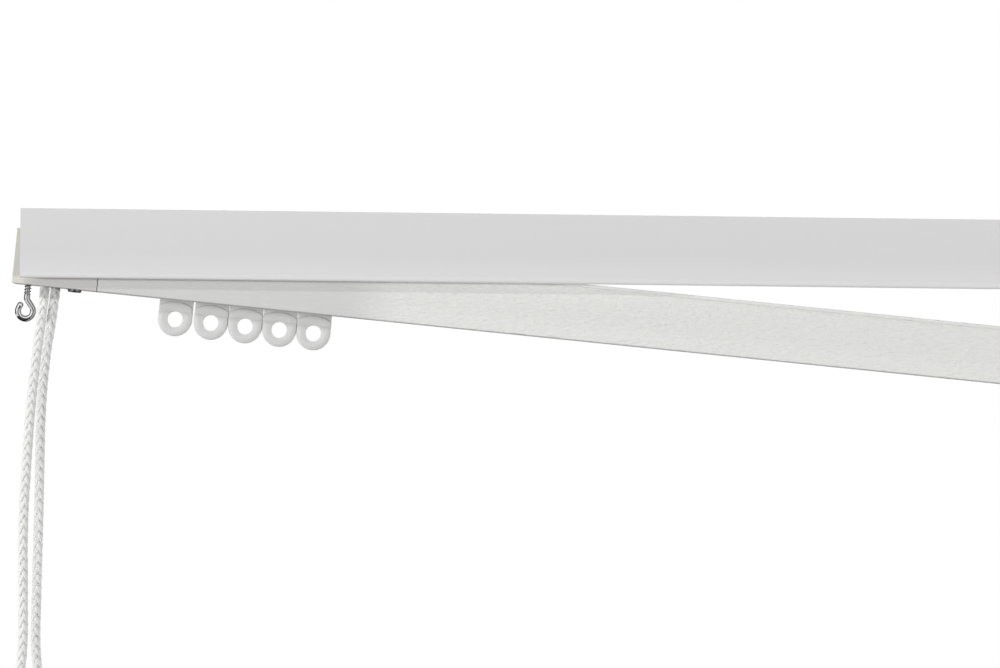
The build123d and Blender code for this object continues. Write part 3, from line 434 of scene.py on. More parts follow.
def braided(name, line, stations, turned):
    """Eight interlaced strands along a line, with a ring of each at every station and its turn."""
    total = lengths_along(line)
    across, beside = front_frames(line)
    middle_radius = (BRAID_DIAMETER / 2 - STRAND_WAVE - STRAND_HALF_THICKNESS) * MM
    wave, thick, wide = STRAND_WAVE * MM, STRAND_HALF_THICKNESS * MM, STRAND_HALF_WIDTH * MM
    lay = BRAID_LAY * MM
    surface_radius = middle_radius + wave
    lean = atan2(2 * pi * surface_radius, lay)
    section = np.arange(STRAND_SIDES) / STRAND_SIDES * 2 * pi
    corners, faces, texture = [], [], []
    for way in (1, -1):
        for strand in range(BRAID_STRANDS_EACH_WAY):
            start_angle = 2 * pi * strand / BRAID_STRANDS_EACH_WAY
            angle = way * 2 * pi * stations / lay + start_angle
            crossings = np.cos(2 * angle - pi / 4)
            angle = angle + turned
            lift = np.tanh(WAVE_SHARPNESS * crossings) / np.tanh(WAVE_SHARPNESS)
            radius = middle_radius + way * wave * lift
            sideways = wide * np.cos(section)[None, :]
            upward = thick * np.sin(section)[None, :]
            ring_along = np.clip(stations[:, None] - way * sideways * sin(lean), 0.0, total[-1])
            ring_angle = angle[:, None] + sideways * cos(lean) / surface_radius
            ring_radius = radius[:, None] + upward
            centre, one, two = (sampled(ring_along, total, vectors) for vectors in (line, across, beside))
            place = centre + ring_radius[..., None] * (
                np.cos(ring_angle)[..., None] * one + np.sin(ring_angle)[..., None] * two
            )
            offset = sum(len(part) for part in corners)
            corners.append(place.reshape(-1, 3))
            faces.append(grid_faces(len(stations), STRAND_SIDES, offset))
            along = np.repeat(stations[:, None] / MM, STRAND_SIDES, axis=1)
            around = np.repeat(section[None, :] / (2 * pi), len(stations), axis=0)
            row = strand + (FIBRE_ROW_SHIFT if way > 0 else 0)
            texture.append(np.stack((along, around + row), -1).reshape(-1, 2))
    core = stations[::2]
    core_ring = np.stack((np.cos(section), np.sin(section)), -1) * CORE_RADIUS * MM
    centre, one, two = (sampled(core, total, vectors) for vectors in (line, across, beside))
    place = centre[:, None] + core_ring[None, :, :1] * one[:, None] + core_ring[None, :, 1:] * two[:, None]
    faces.append(grid_faces(len(core), STRAND_SIDES, sum(len(part) for part in corners)))
    corners.append(place.reshape(-1, 3))
    texture.append(np.zeros((len(core) * STRAND_SIDES, 2)))
    piece = mesh_object(name, np.concatenate(corners), np.concatenate(faces))
    at_corner = np.concatenate(texture)
    layer = piece.data.uv_layers.new(name="UVMap")
    loops = np.zeros(len(piece.data.loops), int)
    piece.data.loops.foreach_get("vertex_index", loops)
    layer.data.foreach_set("uv", at_corner[loops].astype(np.float32).ravel())
    return piece


front_route = [placed(point) for point in FRONT_STRAND]
hank_route = [placed(hank_place(turn)) for turn in hank_turns()]
rear_route = [placed(point) for point in reversed(REAR_STRAND)]
cord_line = nurbs_line(front_route + hank_route + rear_route, ROUTE_RESOLUTION)
cord_reach = lengths_along(cord_line)
front_length, rear_length = (lengths_along(np.array(route))[-1] for route in (front_route, rear_route))
hank_start, hank_end = front_length, cord_reach[-1] - rear_length
cord_stations = np.concatenate(
    (
        np.arange(0.0, hank_start, STEP_IN_VIEW * MM),
        np.arange(hank_start, hank_end, STEP_IN_HANK * MM),
        np.arange(hank_end, cord_reach[-1], STEP_IN_VIEW * MM),
        [cord_reach[-1]],
    )
)
cord_turned = np.interp(cord_stations, (hank_start, hank_end), (BRAID_TURNED_FRONT, BRAID_TURNED_REAR))
draw_cord = braided("draw_cord", cord_line, cord_stations, cord_turned)


# Materials
def new_material(name, color, roughness, metallic=0.0):
    """Principled material, with its tree and shader node."""
    material = bpy.data.materials.new(name)
    material.use_nodes = True
    shader = material.node_tree.nodes["Principled BSDF"]
    shader.inputs["Base Color"].default_value = (*color, 1.0)
    shader.inputs["Roughness"].default_value = roughness
    shader.inputs["Metallic"].default_value = metallic
    return material, material.node_tree, shader


def mapped(tree, source="Object", scale=(1, 1, 1), turned=0.0):
    """Texture coordinates, turned about Y and scaled."""
    coordinates = tree.nodes.new("ShaderNodeTexCoord")
    mapping = tree.nodes.new("ShaderNodeMapping")
    mapping.inputs["Rotation"].default_value = (0.0, turned, 0.0)
    mapping.inputs["Scale"].default_value = scale
    tree.links.new(coordinates.outputs[source], mapping.inputs["Vector"])
    return mapping.outputs["Vector"]


def noise(tree, size_mm, stretch=(1, 1, 1), detail=3.0, source="Object"):
    """Noise whose features are about size_mm wide, stretched along each axis."""
    unit = MM if source == "Object" else 1.0
    scale = [1 / (unit * size_mm * part) for part in stretch]
    texture = tree.nodes.new("ShaderNodeTexNoise")
    texture.inputs["Scale"].default_value = 1.0
    texture.inputs["Detail"].default_value = detail
    tree.links.new(mapped(tree, source, scale), texture.inputs["Vector"])
    return texture.outputs["Fac"]


def waves(tree, pitch_mm, scale, turned=0.0, direction="X", distortion=0.0):
    """Waves across a surface in one direction."""
    texture = tree.nodes.new("ShaderNodeTexWave")
    texture.bands_direction = direction
    texture.inputs["Scale"].default_value = scale
    texture.inputs["Distortion"].default_value = distortion
    vector = mapped(tree, scale=[1 / (pitch_mm * MM)] * 3, turned=turned)
    tree.links.new(vector, texture.inputs["Vector"])
    return texture.outputs["Fac"]


def combined(tree, operation, *values):
    """Result of a math node, from numbers and other nodes' outputs."""
    node = tree.nodes.new("ShaderNodeMath")
    node.operation = operation
    for socket, value in zip(node.inputs, values):
        if isinstance(value, float):
            socket.default_value = value
        else:
            tree.links.new(value, socket)
    return node.outputs["Value"]


def blend_colors(tree, shader, factor, low, high):
    """Base colour between two colours, by a factor."""
    mix = tree.nodes.new("ShaderNodeMix")
    mix.data_type = "RGBA"
    mix.inputs["A"].default_value = (*low, 1.0)
    mix.inputs["B"].default_value = (*high, 1.0)
    tree.links.new(factor, mix.inputs["Factor"])
    tree.links.new(mix.outputs["Result"], shader.inputs["Base Color"])


def mapped_range(tree, value, start, end, low, high, interpolation="LINEAR"):
    """A value taken from one range to another."""
    span = tree.nodes.new("ShaderNodeMapRange")
    span.interpolation_type = interpolation
    limits = {"From Min": start, "From Max": end, "To Min": low, "To Max": high}
    for socket, limit in limits.items():
        span.inputs[socket].default_value = limit
    tree.links.new(value, span.inputs["Value"])
    return span.outputs["Result"]


def spread(tree, value, low, high):
    """The middle of a noise mapped onto a range."""
    return mapped_range(tree, value, NOISE_LOW, NOISE_HIGH, low, high)


def ramp_along(tree, axis, start, end, low, high, turned=0.0):
    """Smooth step from low to high between two places, in metres, along an axis turned about Y."""
    parts = tree.nodes.new("ShaderNodeSeparateXYZ")
    tree.links.new(mapped(tree, turned=turned), parts.inputs["Vector"])
    return mapped_range(tree, parts.outputs[axis], start, end, low, high, "SMOOTHSTEP")


def bumps(tree, shader, height, depth_mm, strength=1.0, before=None):
    """Bump of a height, whose full step is depth_mm, on top of another bump."""
    bump = tree.nodes.new("ShaderNodeBump")
    bump.inputs["Strength"].default_value = strength
    bump.inputs["Distance"].default_value = depth_mm * MM
    tree.links.new(height, bump.inputs["Height"])
    if before is not None:
        tree.links.new(before, bump.inputs["Normal"])
    tree.links.new(bump.outputs["Normal"], shader.inputs["Normal"])
    return bump.outputs["Normal"]


def shade(color, factor):
    """A colour made lighter or darker."""
    return tuple(part * factor for part in color)


def powder_coat(name, color):
    """Satin paint with a soft orange peel."""
    material, tree, shader = new_material(name, color, roughness=0.4)
    blend_colors(tree, shader, noise(tree, size_mm=40), shade(color, 0.985), shade(color, 1.01))
    gloss = spread(tree, noise(tree, size_mm=6), low=0.36, high=0.46)
    tree.links.new(gloss, shader.inputs["Roughness"])
    peel = bumps(tree, shader, noise(tree, size_mm=1.8, stretch=(1.6, 1, 1)), depth_mm=0.05)
    bumps(tree, shader, noise(tree, size_mm=0.4), depth_mm=0.006, before=peel)
    return material


def rail_coat(name, color):
    """Satin paint, greyer near the cord end and with painted light making it paler at its foot, with a
    peel that grows along it.
    """
    material, tree, shader = new_material(name, color, roughness=0.4)
    tone_start, tone_end = x_left + RAIL_TONE_START * MM, x_left + RAIL_TONE_END * MM
    foot_start, foot_end = z_bottom + RAIL_FOOT_PAINTED_LIGHT_START * MM, z_bottom + RAIL_FOOT_PAINTED_LIGHT_END * MM
    paler = ramp_along(tree, "X", tone_start, tone_end, low=0.0, high=RAIL_RIGHT_SHARE)
    # Painted light: the lower part of the face is made paler, as if more light falls there.
    foot = ramp_along(tree, "Z", foot_start, foot_end, low=0.0, high=RAIL_FOOT_PAINTED_LIGHT_SHARE)
    mottle = spread(tree, noise(tree, size_mm=1.8, stretch=(3, 1, 1)), low=0.0, high=RAIL_MOTTLE_SHARE)
    tone = combined(tree, "ADD", combined(tree, "MULTIPLY_ADD", foot, paler, paler), mottle)
    blend_colors(tree, shader, tone, shade(color, RAIL_LEFT_TONE), shade(color, RAIL_RIGHT_TONE))
    gloss = spread(tree, noise(tree, size_mm=6), low=0.36, high=0.46)
    tree.links.new(gloss, shader.inputs["Roughness"])
    grown = ramp_along(tree, "X", tone_start, tone_end, low=RAIL_PEEL_LEFT, high=1.0)
    peel = combined(tree, "MULTIPLY", noise(tree, size_mm=1.15, stretch=(2.4, 1, 1)), grown)
    coarse = bumps(tree, shader, peel, depth_mm=RAIL_PEEL_DEPTH)
    bumps(tree, shader, noise(tree, size_mm=0.4), depth_mm=0.006, before=coarse)
    return material


def drawn_plastic(name, color):
    """Satin strip with faint lines along its length, and painted light making it a little paler towards
    its foot.
    """
    material, tree, shader = new_material(name, color, roughness=0.42)
    foot = pivot_level - FASCIA_BELOW_PIVOT * MM
    start, end = foot + FASCIA_FOOT_PAINTED_LIGHT_START * MM, foot + FASCIA_FOOT_PAINTED_LIGHT_END * MM
    # Painted light: the strip is made paler towards its foot, as if more light falls there.
    paler = ramp_along(tree, "Z", start, end, low=0.0, high=FASCIA_FOOT_PAINTED_LIGHT_SHARE, turned=FASCIA_OPEN_ANGLE)
    cloud = noise(tree, size_mm=25, stretch=(6, 1, 1))
    tone = combined(tree, "MULTIPLY_ADD", cloud, 1 - FASCIA_FOOT_PAINTED_LIGHT_SHARE, paler)
    blend_colors(tree, shader, tone, shade(color, 0.988), shade(color, 1.06))
    gloss = spread(tree, noise(tree, size_mm=1.2, stretch=(60, 1, 1)), low=0.38, high=0.47)
    tree.links.new(gloss, shader.inputs["Roughness"])
    lines = bumps(tree, shader, noise(tree, size_mm=0.7, stretch=(120, 1, 1)), depth_mm=0.006)
    bumps(tree, shader, noise(tree, size_mm=0.5), depth_mm=0.004, before=lines)
    return material


def housing_coat(name, color, painted_light_color):
    """Moulded housing, with painted light making it a little paler and warmer at its outer end."""
    material, tree, shader = new_material(name, color, roughness=0.45)
    start, end = x_left + HOUSING_END_PAINTED_LIGHT_START * MM, x_left + HOUSING_END_PAINTED_LIGHT_END * MM
    # Painted light: the outer end takes a paler, warmer colour, as if more light falls there.
    blend_colors(tree, shader, ramp_along(tree, "X", start, end, low=0.0, high=1.0), painted_light_color, color)
    gloss = spread(tree, noise(tree, size_mm=3), low=0.4, high=0.52)
    tree.links.new(gloss, shader.inputs["Roughness"])
    bumps(tree, shader, noise(tree, size_mm=0.3), depth_mm=0.01)
    return material


def moulded_plastic(name, color, roughness):
    """Moulded part with a fine grain and slightly uneven gloss."""
    material, tree, shader = new_material(name, color, roughness)
    blend_colors(tree, shader, noise(tree, size_mm=7), shade(color, 0.975), shade(color, 1.015))
    gloss = spread(tree, noise(tree, size_mm=3), low=roughness - 0.05, high=roughness + 0.07)
    tree.links.new(gloss, shader.inputs["Roughness"])
    bumps(tree, shader, noise(tree, size_mm=0.3), depth_mm=0.01)
    return material


def clear_white_plastic(name, color):
    """Glider plastic: white, softly glossy, a little see-through, with painted shade greying its neck just
    under the rail.
    """
    material, tree, shader = new_material(name, color, roughness=0.3)
    # Painted shade: the neck just under the rail is greyed in place of the rail's shade; thick here is the
    # share out of that shade, not a thickness.
    thick = ramp_along(tree, "Z", z_bottom, z_bottom - NECK_PAINTED_SHADE_DROP * MM, low=0.0, high=1.0)
    blend_colors(tree, shader, thick, shade(color, NECK_PAINTED_SHADE), color)
    gloss = spread(tree, noise(tree, size_mm=2), low=0.26, high=0.38)
    tree.links.new(gloss, shader.inputs["Roughness"])
    shader.inputs["Subsurface Weight"].default_value = 0.35
    shader.inputs["Subsurface Radius"].default_value = (0.9, 0.95, 1.0)
    shader.inputs["Subsurface Scale"].default_value = 2.0 * MM
    bumps(tree, shader, noise(tree, size_mm=0.8), depth_mm=0.012)
    return material


def plated(name, color, low, high, stretch=(1, 1, 1)):
    """Metal whose gloss and surface vary along a direction."""
    material, tree, shader = new_material(name, color, roughness=(low + high) / 2, metallic=1.0)
    blend_colors(tree, shader, noise(tree, size_mm=2.5), shade(color, 0.94), shade(color, 1.03))
    gloss = spread(tree, noise(tree, size_mm=0.8, stretch=stretch), low, high)
    tree.links.new(gloss, shader.inputs["Roughness"])
    bumps(tree, shader, noise(tree, size_mm=0.5, stretch=stretch), depth_mm=0.003)
    return material


def cord_fibre(name, color):
    """Twisted polyester filaments that run along each strand, with a painted shadow just below the
    housing.
    """
    material, tree, shader = new_material(name, color, roughness=0.7)
    filaments = noise(tree, size_mm=1.0, stretch=(2.4, 0.035, 1.0), detail=2.0, source="UV")
    # Painted shadow: the top few millimetres of each cord below the housing are darkened where the housing
    # shades them.
    start, end = z_bottom - CORD_TOP_PAINTED_SHADE_START * MM, z_bottom - CORD_TOP_PAINTED_SHADE_END * MM
    clear = combined(
        tree, "MULTIPLY", ramp_along(tree, "Z", start, end, low=0.0, high=1.0), 1 - CORD_FILAMENT_SHARE
    )
    light = spread(tree, filaments, low=0.0, high=1.0)
    tone = combined(tree, "MULTIPLY_ADD", light, CORD_FILAMENT_SHARE, clear)
    blend_colors(tree, shader, tone, shade(color, CORD_TOP_PAINTED_SHADE), shade(color, 1.02))
    shader.inputs["Sheen Weight"].default_value = 0.25
    shader.inputs["Sheen Roughness"].default_value = 0.5
    shader.inputs["Subsurface Weight"].default_value = 0.2
    shader.inputs["Subsurface Radius"].default_value = (1.0, 1.0, 1.0)
    shader.inputs["Subsurface Scale"].default_value = 0.8 * MM
    bumps(tree, shader, filaments, depth_mm=0.05, strength=0.8)
    return material


def held_cord(name, color):
    """The same braid on the cord inside the rail, as crossed waves, with painted shade where they dip."""
    material, tree, shader = new_material(name, color, roughness=0.75)
    crossed = [
        waves(tree, HELD_BRAID_PITCH, HELD_BRAID_SCALE, turned=way * HELD_BRAID_LEAN) for way in (1, -1)
    ]
    height = combined(tree, "MAXIMUM", *crossed)
    # Painted shade: the colour darkens in the hollows between the crossed waves.
    blend_colors(tree, shader, height, shade(color, 0.8), color)
    bumps(tree, shader, height, depth_mm=0.3)
    return material


def woven_band(name, color):
    """Narrow woven tape, ribbed up and down, with painted shade between its ribs."""
    material, tree, shader = new_material(name, color, roughness=0.85)
    ribs = [
        waves(tree, pitch_mm, TIE_WEAVE_SCALE, direction=direction, distortion=0.4)
        for direction, pitch_mm in TIE_WEAVE
    ]
    height = combined(tree, "MULTIPLY", *ribs)
    # Painted shade: the colour darkens in the hollows between the ribs.
    blend_colors(tree, shader, height, shade(color, 0.78), color)
    bumps(tree, shader, height, depth_mm=0.15)
    return material


rail_paint = rail_coat("rail_paint", (0.765, 0.763, 0.745))
bracket_paint = powder_coat("bracket_paint", (0.70, 0.70, 0.69))
fascia_plastic = drawn_plastic("fascia_plastic", (0.695, 0.69, 0.692))
# The second colour is the painted light at the housing's outer end
housing_plastic = housing_coat("housing_plastic", (0.595, 0.584, 0.568), (0.69, 0.68, 0.627))
nylon = moulded_plastic("nylon", (0.72, 0.72, 0.68), roughness=0.4)
lever_plastic = moulded_plastic("lever_plastic", (0.70, 0.70, 0.67), roughness=0.35)
glider_plastic = clear_white_plastic("glider_plastic", (0.655, 0.655, 0.65))
chrome = plated("chrome", (0.84, 0.84, 0.85), low=0.02, high=0.07)
screw_plate = plated("screw_plate", (0.34, 0.34, 0.35), low=0.12, high=0.25)
zinc_steel = plated("zinc_steel", (0.55, 0.56, 0.57), low=0.28, high=0.42, stretch=(8, 1, 1))
cord_white = cord_fibre("cord_white", (0.88, 0.88, 0.87))
cord_inside = held_cord("cord_inside", (0.84, 0.84, 0.83))
tie_tape = woven_band("tie_tape", (0.80, 0.80, 0.78))

NODE_MATERIALS = {
    "end_housing_left": housing_plastic,
    "end_housing_right": housing_plastic,
    "guide_block": nylon,
    "return_block": nylon,
    "guide_pulley_front": nylon,
    "guide_pulley_rear": nylon,
    "return_pulley": nylon,
    "guide_pulley_pins": zinc_steel,
    "return_pulley_pin": zinc_steel,
    "housing_screws": screw_plate,
    "track_cord": cord_inside,
    "master_carrier": glider_plastic,
    "cord_clip": zinc_steel,
    "wall_bracket_left": bracket_paint,
    "wall_bracket_right": bracket_paint,
    "bracket_lever_left": lever_plastic,
    "bracket_lever_right": lever_plastic,
    "lever_rivets": zinc_steel,
    "fascia_clip": housing_plastic,
    "fascia_pivot_pin": housing_plastic,
}


def dress(piece, material):
    """Give every slot of a piece one material."""
    if not piece.data.materials:
        piece.data.materials.append(material)
    for number in range(len(piece.data.materials)):
        piece.data.materials[number] = material


for node, material in NODE_MATERIALS.items():
    dress(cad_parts[node], material)


# Rail and strip, extruded again with finer edges
def rounded_outline(points):
    """Closed outline from corners (y, z, radius), with each round corner as a short arc."""
    outline = []
    for number, (y, z, radius) in enumerate(points):
        before, after = points[number - 1], points[(number + 1) % len(points)]
        if radius == 0:
            outline.append((y, z))
            continue
        back = Vector((before[0] - y, before[1] - z)).normalized()
        ahead = Vector((after[0] - y, after[1] - z)).normalized()
        half_angle = back.angle(ahead) / 2
        setback = radius / np.tan(half_angle)
        middle = Vector((y, z)) + (back + ahead).normalized() * radius / sin(half_angle)
        start, end = Vector((y, z)) + back * setback, Vector((y, z)) + ahead * setback
        from_middle, to_middle = start - middle, end - middle
        for step in range(CORNER_STEPS + 1):
            turned = from_middle.lerp(to_middle, step / CORNER_STEPS).normalized() * radius
            outline.append(tuple(middle + turned))
    return outline


def extruded(name, outline, x_low, x_high):
    """Solid bar along X with a closed outline of (y, z) in metres."""
    shape = bmesh.new()
    ends = []
    for x in (x_low, x_high):
        ends.append([shape.verts.new((x, y, z)) for y, z in outline])
    count = len(outline)
    for number in range(count):
        after = (number + 1) % count
        shape.faces.new((ends[0][number], ends[0][after], ends[1][after], ends[1][number]))
    shape.faces.new(ends[0])
    shape.faces.new(ends[1][::-1])
    bmesh.ops.recalc_face_normals(shape, faces=shape.faces)
    mesh = bpy.data.meshes.new(name)
    shape.to_mesh(mesh)
    shape.free()
    mesh.shade_smooth()
    mesh.set_sharp_from_angle(angle=BAR_SHARP_ANGLE)
    piece = bpy.data.objects.new(name, mesh)
    bpy.context.scene.collection.objects.link(piece)
    return piece


def rail_outline():
    """Section of the rail: half of it mirrored, with a bead on top and a lip below."""
    half_slot, wall, depth = SLOT_WIDTH / 2, RAIL_WALL, rail_depth / 2
    ledge_root = depth - wall
    roof = rail_height - RIB_HEIGHT - wall
    groove_foot = rail_height - RIB_HEIGHT - GROOVE_BELOW
    face = [
        (depth - LIP_SLOPE, 0.0, EDGE_ROUND),
        (depth, LIP_HEIGHT, 0.0),
        (depth, groove_foot, GROOVE_FOOT_ROUND),
        (depth - GROOVE_DEPTH, groove_foot, 0.0),
        (depth - GROOVE_DEPTH, groove_foot + GROOVE_HEIGHT, 0.0),
        (depth, groove_foot + GROOVE_HEIGHT, GROOVE_TOP_ROUND),
        (depth, rail_height, EDGE_ROUND),
        (depth - TOP_RIB_WIDTH, rail_height, RIB_ROUND),
        (depth - TOP_RIB_WIDTH, rail_height - RIB_HEIGHT, 0.0),
    ]
    inside = [
        (WEB_HALF, roof, 0.0),
        (ledge_root, roof, 0.0),
        (ledge_root, LEDGE_HEIGHT + LEDGE_THICKNESS, 0.0),
        (ledge_root - LEDGE_REACH, LEDGE_HEIGHT + LEDGE_THICKNESS, 0.0),
        (ledge_root - LEDGE_REACH, LEDGE_HEIGHT, 0.0),
        (ledge_root, LEDGE_HEIGHT, 0.0),
        (ledge_root, wall, 0.0),
        (half_slot, wall, 0.0),
        (half_slot, 0.0, SLOT_ROUND),
    ]
    web = [(WEB_HALF, roof - WEB_DROP, 0.0)]
    half = web + inside + face
    mirrored = [(-y, z, radius) for y, z, radius in reversed(half)]
    return [(y_rail - y * MM, z_bottom + z * MM) for y, z in rounded_outline(half + mirrored)]


rail_depth = (rail_high.y - rail_low.y) / MM
rail_height = (rail_high.z - rail_low.z) / MM
rail_bar = extruded("rail_bar", rail_outline(), rail_low.x, rail_high.x)
dress(rail_bar, rail_paint)
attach(rail_bar, "track")
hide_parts("track_rail")


def strip_outline():
    """Section of the strip: flat face with a fine line above its foot, and a lip behind its top."""
    back, front = 0.0, FASCIA_THICKNESS
    foot, top = -FASCIA_BELOW_PIVOT, FASCIA_HEIGHT - FASCIA_BELOW_PIVOT
    line = foot + FASCIA_LINE_HEIGHT
    points = [
        (back, foot, FASCIA_BACK_EDGE),
        (front, foot, FASCIA_FOOT_ROUND),
        (front, line, 0.0),
        (front - FASCIA_LINE_DEPTH, line + FASCIA_LINE_START, 0.0),
        (front - FASCIA_LINE_DEPTH, line + FASCIA_LINE_END, 0.0),
        (front, line + FASCIA_LINE_WIDTH, 0.0),
        (front, top, FASCIA_EDGE),
        (-FASCIA_LIP_REACH, top, FASCIA_LIP_EDGE),
        (-FASCIA_LIP_REACH, top - FASCIA_LIP_THICKNESS, FASCIA_LIP_EDGE),
        (back, top - FASCIA_LIP_THICKNESS, FASCIA_LIP_EDGE),
    ]
    return [(-y * MM, z * MM) for y, z in rounded_outline(points)]


def strip_bar():
    """The strip, drawn level and then turned about its pivot."""
    y_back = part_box("fascia_strip")[0].y + FASCIA_THICKNESS * MM
    length = (rail_high.x - rail_low.x) / MM
    track_length = 2 * (rail_low.x - x_left) / MM + length
    reach = track_length - PIVOT_X - FASCIA_RIGHT_INSET
    piece = extruded("strip_bar", strip_outline(), -FASCIA_LEFT_OF_PIVOT * MM, reach * MM)
    pivot = Vector((pivot_x, y_back, pivot_z))
    piece.data.transform(Matrix.Translation(pivot) @ Matrix.Rotation(-FASCIA_OPEN_ANGLE, 4, "Y"))
    return piece


strip = strip_bar()
dress(strip, fascia_plastic)
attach(strip, "fascia")
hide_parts("fascia_strip")


# Gliders
def boundary_reach(angle):
    """Distance from the eye's middle to the boss's outline in a direction."""
    half = GLIDER_WIDTH / 2
    side_top = EYE_DROP - BOSS_TOP_DROP - BOSS_ARCH
    if sin(angle) <= 0:
        return half
    corner = atan2(side_top, half)
    if angle < corner or angle > pi - corner:
        return half / abs(cos(angle))
    arch_radius = (half**2 + BOSS_ARCH**2) / (2 * BOSS_ARCH)
    arch_middle = side_top + BOSS_ARCH - arch_radius
    upward = sin(angle) * arch_middle
    return upward + sqrt(upward**2 + arch_radius**2 - arch_middle**2)


def face_relief(across, height):
    """How far the boss's face lies below its top level: the crease and the zone above it."""
    above = height - (EYE_DROP - CREASE_DROP)
    groove = CREASE_DEPTH * np.exp(-((above / CREASE_HALF_WIDTH) ** 2))
    lean = ARCH_LEAN * (max(above, 0.0) / ARCH_LEAN_SPAN) ** 2
    return groove + lean


def boss_section(angle):
    """Half section of the boss in a direction, from the eye's wall to the outer wall."""
    reach = boundary_reach(angle)
    half = GLIDER_BOSS / 2
    eye_level = half - EYE_DISH
    eye = EYE_RADIUS + EYE_LOWER * max(0.0, -sin(angle)) ** 2
    section = [(eye, 0.0)]
    for step in range(ROUND_STEPS + 1):
        bend = step / ROUND_STEPS * pi / 2
        section.append((eye + EYE_ROUND * (1 - cos(bend)), eye_level - EYE_ROUND * (1 - sin(bend))))
    inner, outer = eye + EYE_ROUND, reach - BOSS_ROUND
    fall = FACE_FALL * (1 - max(0.0, sin(angle)))
    for step in range(1, FACE_STEPS):
        share = step / FACE_STEPS
        rise = sin(share * pi / 2)
        level = eye_level + EYE_DISH * rise - fall * share**3
        section.append((inner + (outer - inner) * share, level))
    for step in range(ROUND_STEPS + 1):
        bend = step / ROUND_STEPS * pi / 2
        section.append((outer + BOSS_ROUND * sin(bend), half - fall - BOSS_ROUND * (1 - cos(bend))))
    section.append((reach + WALL_DRAFT, 0.0))
    return section


def add_block(shape, low, high, edge):
    """Box with rounded edges between two corners, added to a bmesh."""
    made = bmesh.ops.create_cube(shape, size=1.0)
    size = high - low
    matrix = Matrix.Translation((low + high) / 2) @ Matrix.Diagonal((*size, 1.0))
    bmesh.ops.transform(shape, matrix=matrix, verts=made["verts"])
    edges = list({rim for corner in made["verts"] for rim in corner.link_edges})
    bmesh.ops.bevel(shape, geom=edges, offset=edge, segments=2, profile=0.5, affect="EDGES")


def glider(node):
    """One glider in place of its CAD node: ringed boss, neck plate and flat head."""
    low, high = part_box(node)
    x_eye = (low.x + high.x) / 2
    z_eye = z_bottom - EYE_DROP * MM
    angles = [2 * pi * step / EYE_STEPS for step in range(EYE_STEPS)]
    corners = []
    for angle in angles:
        front = boss_section(angle)
        back = [(radius, -level) for radius, level in reversed(front[1:-1])]
        for radius, level in front + back:
            across, height = radius * cos(angle), radius * sin(angle)
            sunk = face_relief(across, height) * min(1.0, abs(level) / (GLIDER_BOSS / 2))
            level -= sunk if level > 0 else -sunk
            corners.append((x_eye + across * MM, y_rail - level * MM, z_eye + height * MM))
    around = len(corners) // EYE_STEPS
    faces = grid_faces(EYE_STEPS, around).tolist()
    last = (EYE_STEPS - 1) * around
    for step in range(around):
        after = (step + 1) % around
        faces.append([last + step, last + after, after, step])
    piece = mesh_object(node.replace("glider", "ring_glider"), corners, faces)
    shape = bmesh.new()
    shape.from_mesh(piece.data)
    half_plate = GLIDER_PLATE / 2 * MM
    z_boss_side = z_bottom - (BOSS_TOP_DROP + BOSS_ARCH) * MM
    z_floor = z_bottom + RAIL_WALL * MM
    plate_low = Vector((low.x, y_rail - half_plate, z_boss_side - PLATE_INTO_BOSS * MM))
    plate_high = Vector((high.x, y_rail + half_plate, z_floor + PLATE_INTO_RAIL * MM))
    add_block(shape, plate_low, plate_high, PLATE_EDGE * MM)
    half_head = HEAD_LENGTH / 2 * MM
    head_low = Vector((x_eye - half_head, low.y, z_floor + HEAD_CLEARANCE * MM))
    head_high = Vector((x_eye + half_head, high.y, high.z))
    add_block(shape, head_low, head_high, HEAD_EDGE * MM)
    bmesh.ops.recalc_face_normals(shape, faces=shape.faces)
    shape.to_mesh(piece.data)
    shape.free()
    piece.data.shade_smooth()
    piece.data.set_sharp_from_angle(angle=GLIDER_SHARP_ANGLE)
    return piece


glider_nodes = sorted(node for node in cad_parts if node.startswith("glider_"))
for node in glider_nodes:
    piece = glider(node)
    dress(piece, glider_plastic)
    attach(piece, f"{node}_body")
    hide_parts(node)


# Screw hook
def hook_line():
    """Points along the hook's wire from its threaded top to its tip, in the track's own plane."""
    middle_x, middle_z = HOOK_X, -HOOK_RING_DROP
    ring_x = middle_x + HOOK_RING_RADIUS * cos(HOOK_LEAN)
    ring_z = middle_z + HOOK_RING_RADIUS * sin(HOOK_LEAN)
    bend_width = HOOK_BEND_RADIUS * (1 - cos(HOOK_LEAN))
    slant = (ring_x - middle_x - bend_width) / sin(HOOK_LEAN)
    bend_x, bend_z = ring_x - slant * sin(HOOK_LEAN), ring_z + slant * cos(HOOK_LEAN)
    bend_top = bend_z + HOOK_BEND_RADIUS * sin(HOOK_LEAN)
    points = [(middle_x, z) for z in np.arange(THREAD_TOP, bend_top, -THREAD_PITCH / THREAD_STEPS)]
    for step in range(HOOK_BEND_STEPS + 1):
        turned = HOOK_LEAN * step / HOOK_BEND_STEPS
        x = middle_x + HOOK_BEND_RADIUS * (1 - cos(turned))
        points.append((x, bend_top - HOOK_BEND_RADIUS * sin(turned)))
    for step in range(1, HOOK_SLANT_STEPS):
        share = step / HOOK_SLANT_STEPS
        points.append((bend_x + (ring_x - bend_x) * share, bend_z + (ring_z - bend_z) * share))
    for step in range(HOOK_RING_STEPS + 1):
        turned = HOOK_LEAN - HOOK_RING_TURN * step / HOOK_RING_STEPS
        x = middle_x + HOOK_RING_RADIUS * cos(turned)
        points.append((x, middle_z + HOOK_RING_RADIUS * sin(turned)))
    tip_x, tip_z = points[-1]
    for step in range(1, HOOK_TIP_STEPS + 1):
        reach = HOOK_TIP * step / HOOK_TIP_STEPS
        points.append((tip_x + reach * sin(turned), tip_z - reach * cos(turned)))
    return np.array([placed((x, 0.0, z)) for x, z in points])


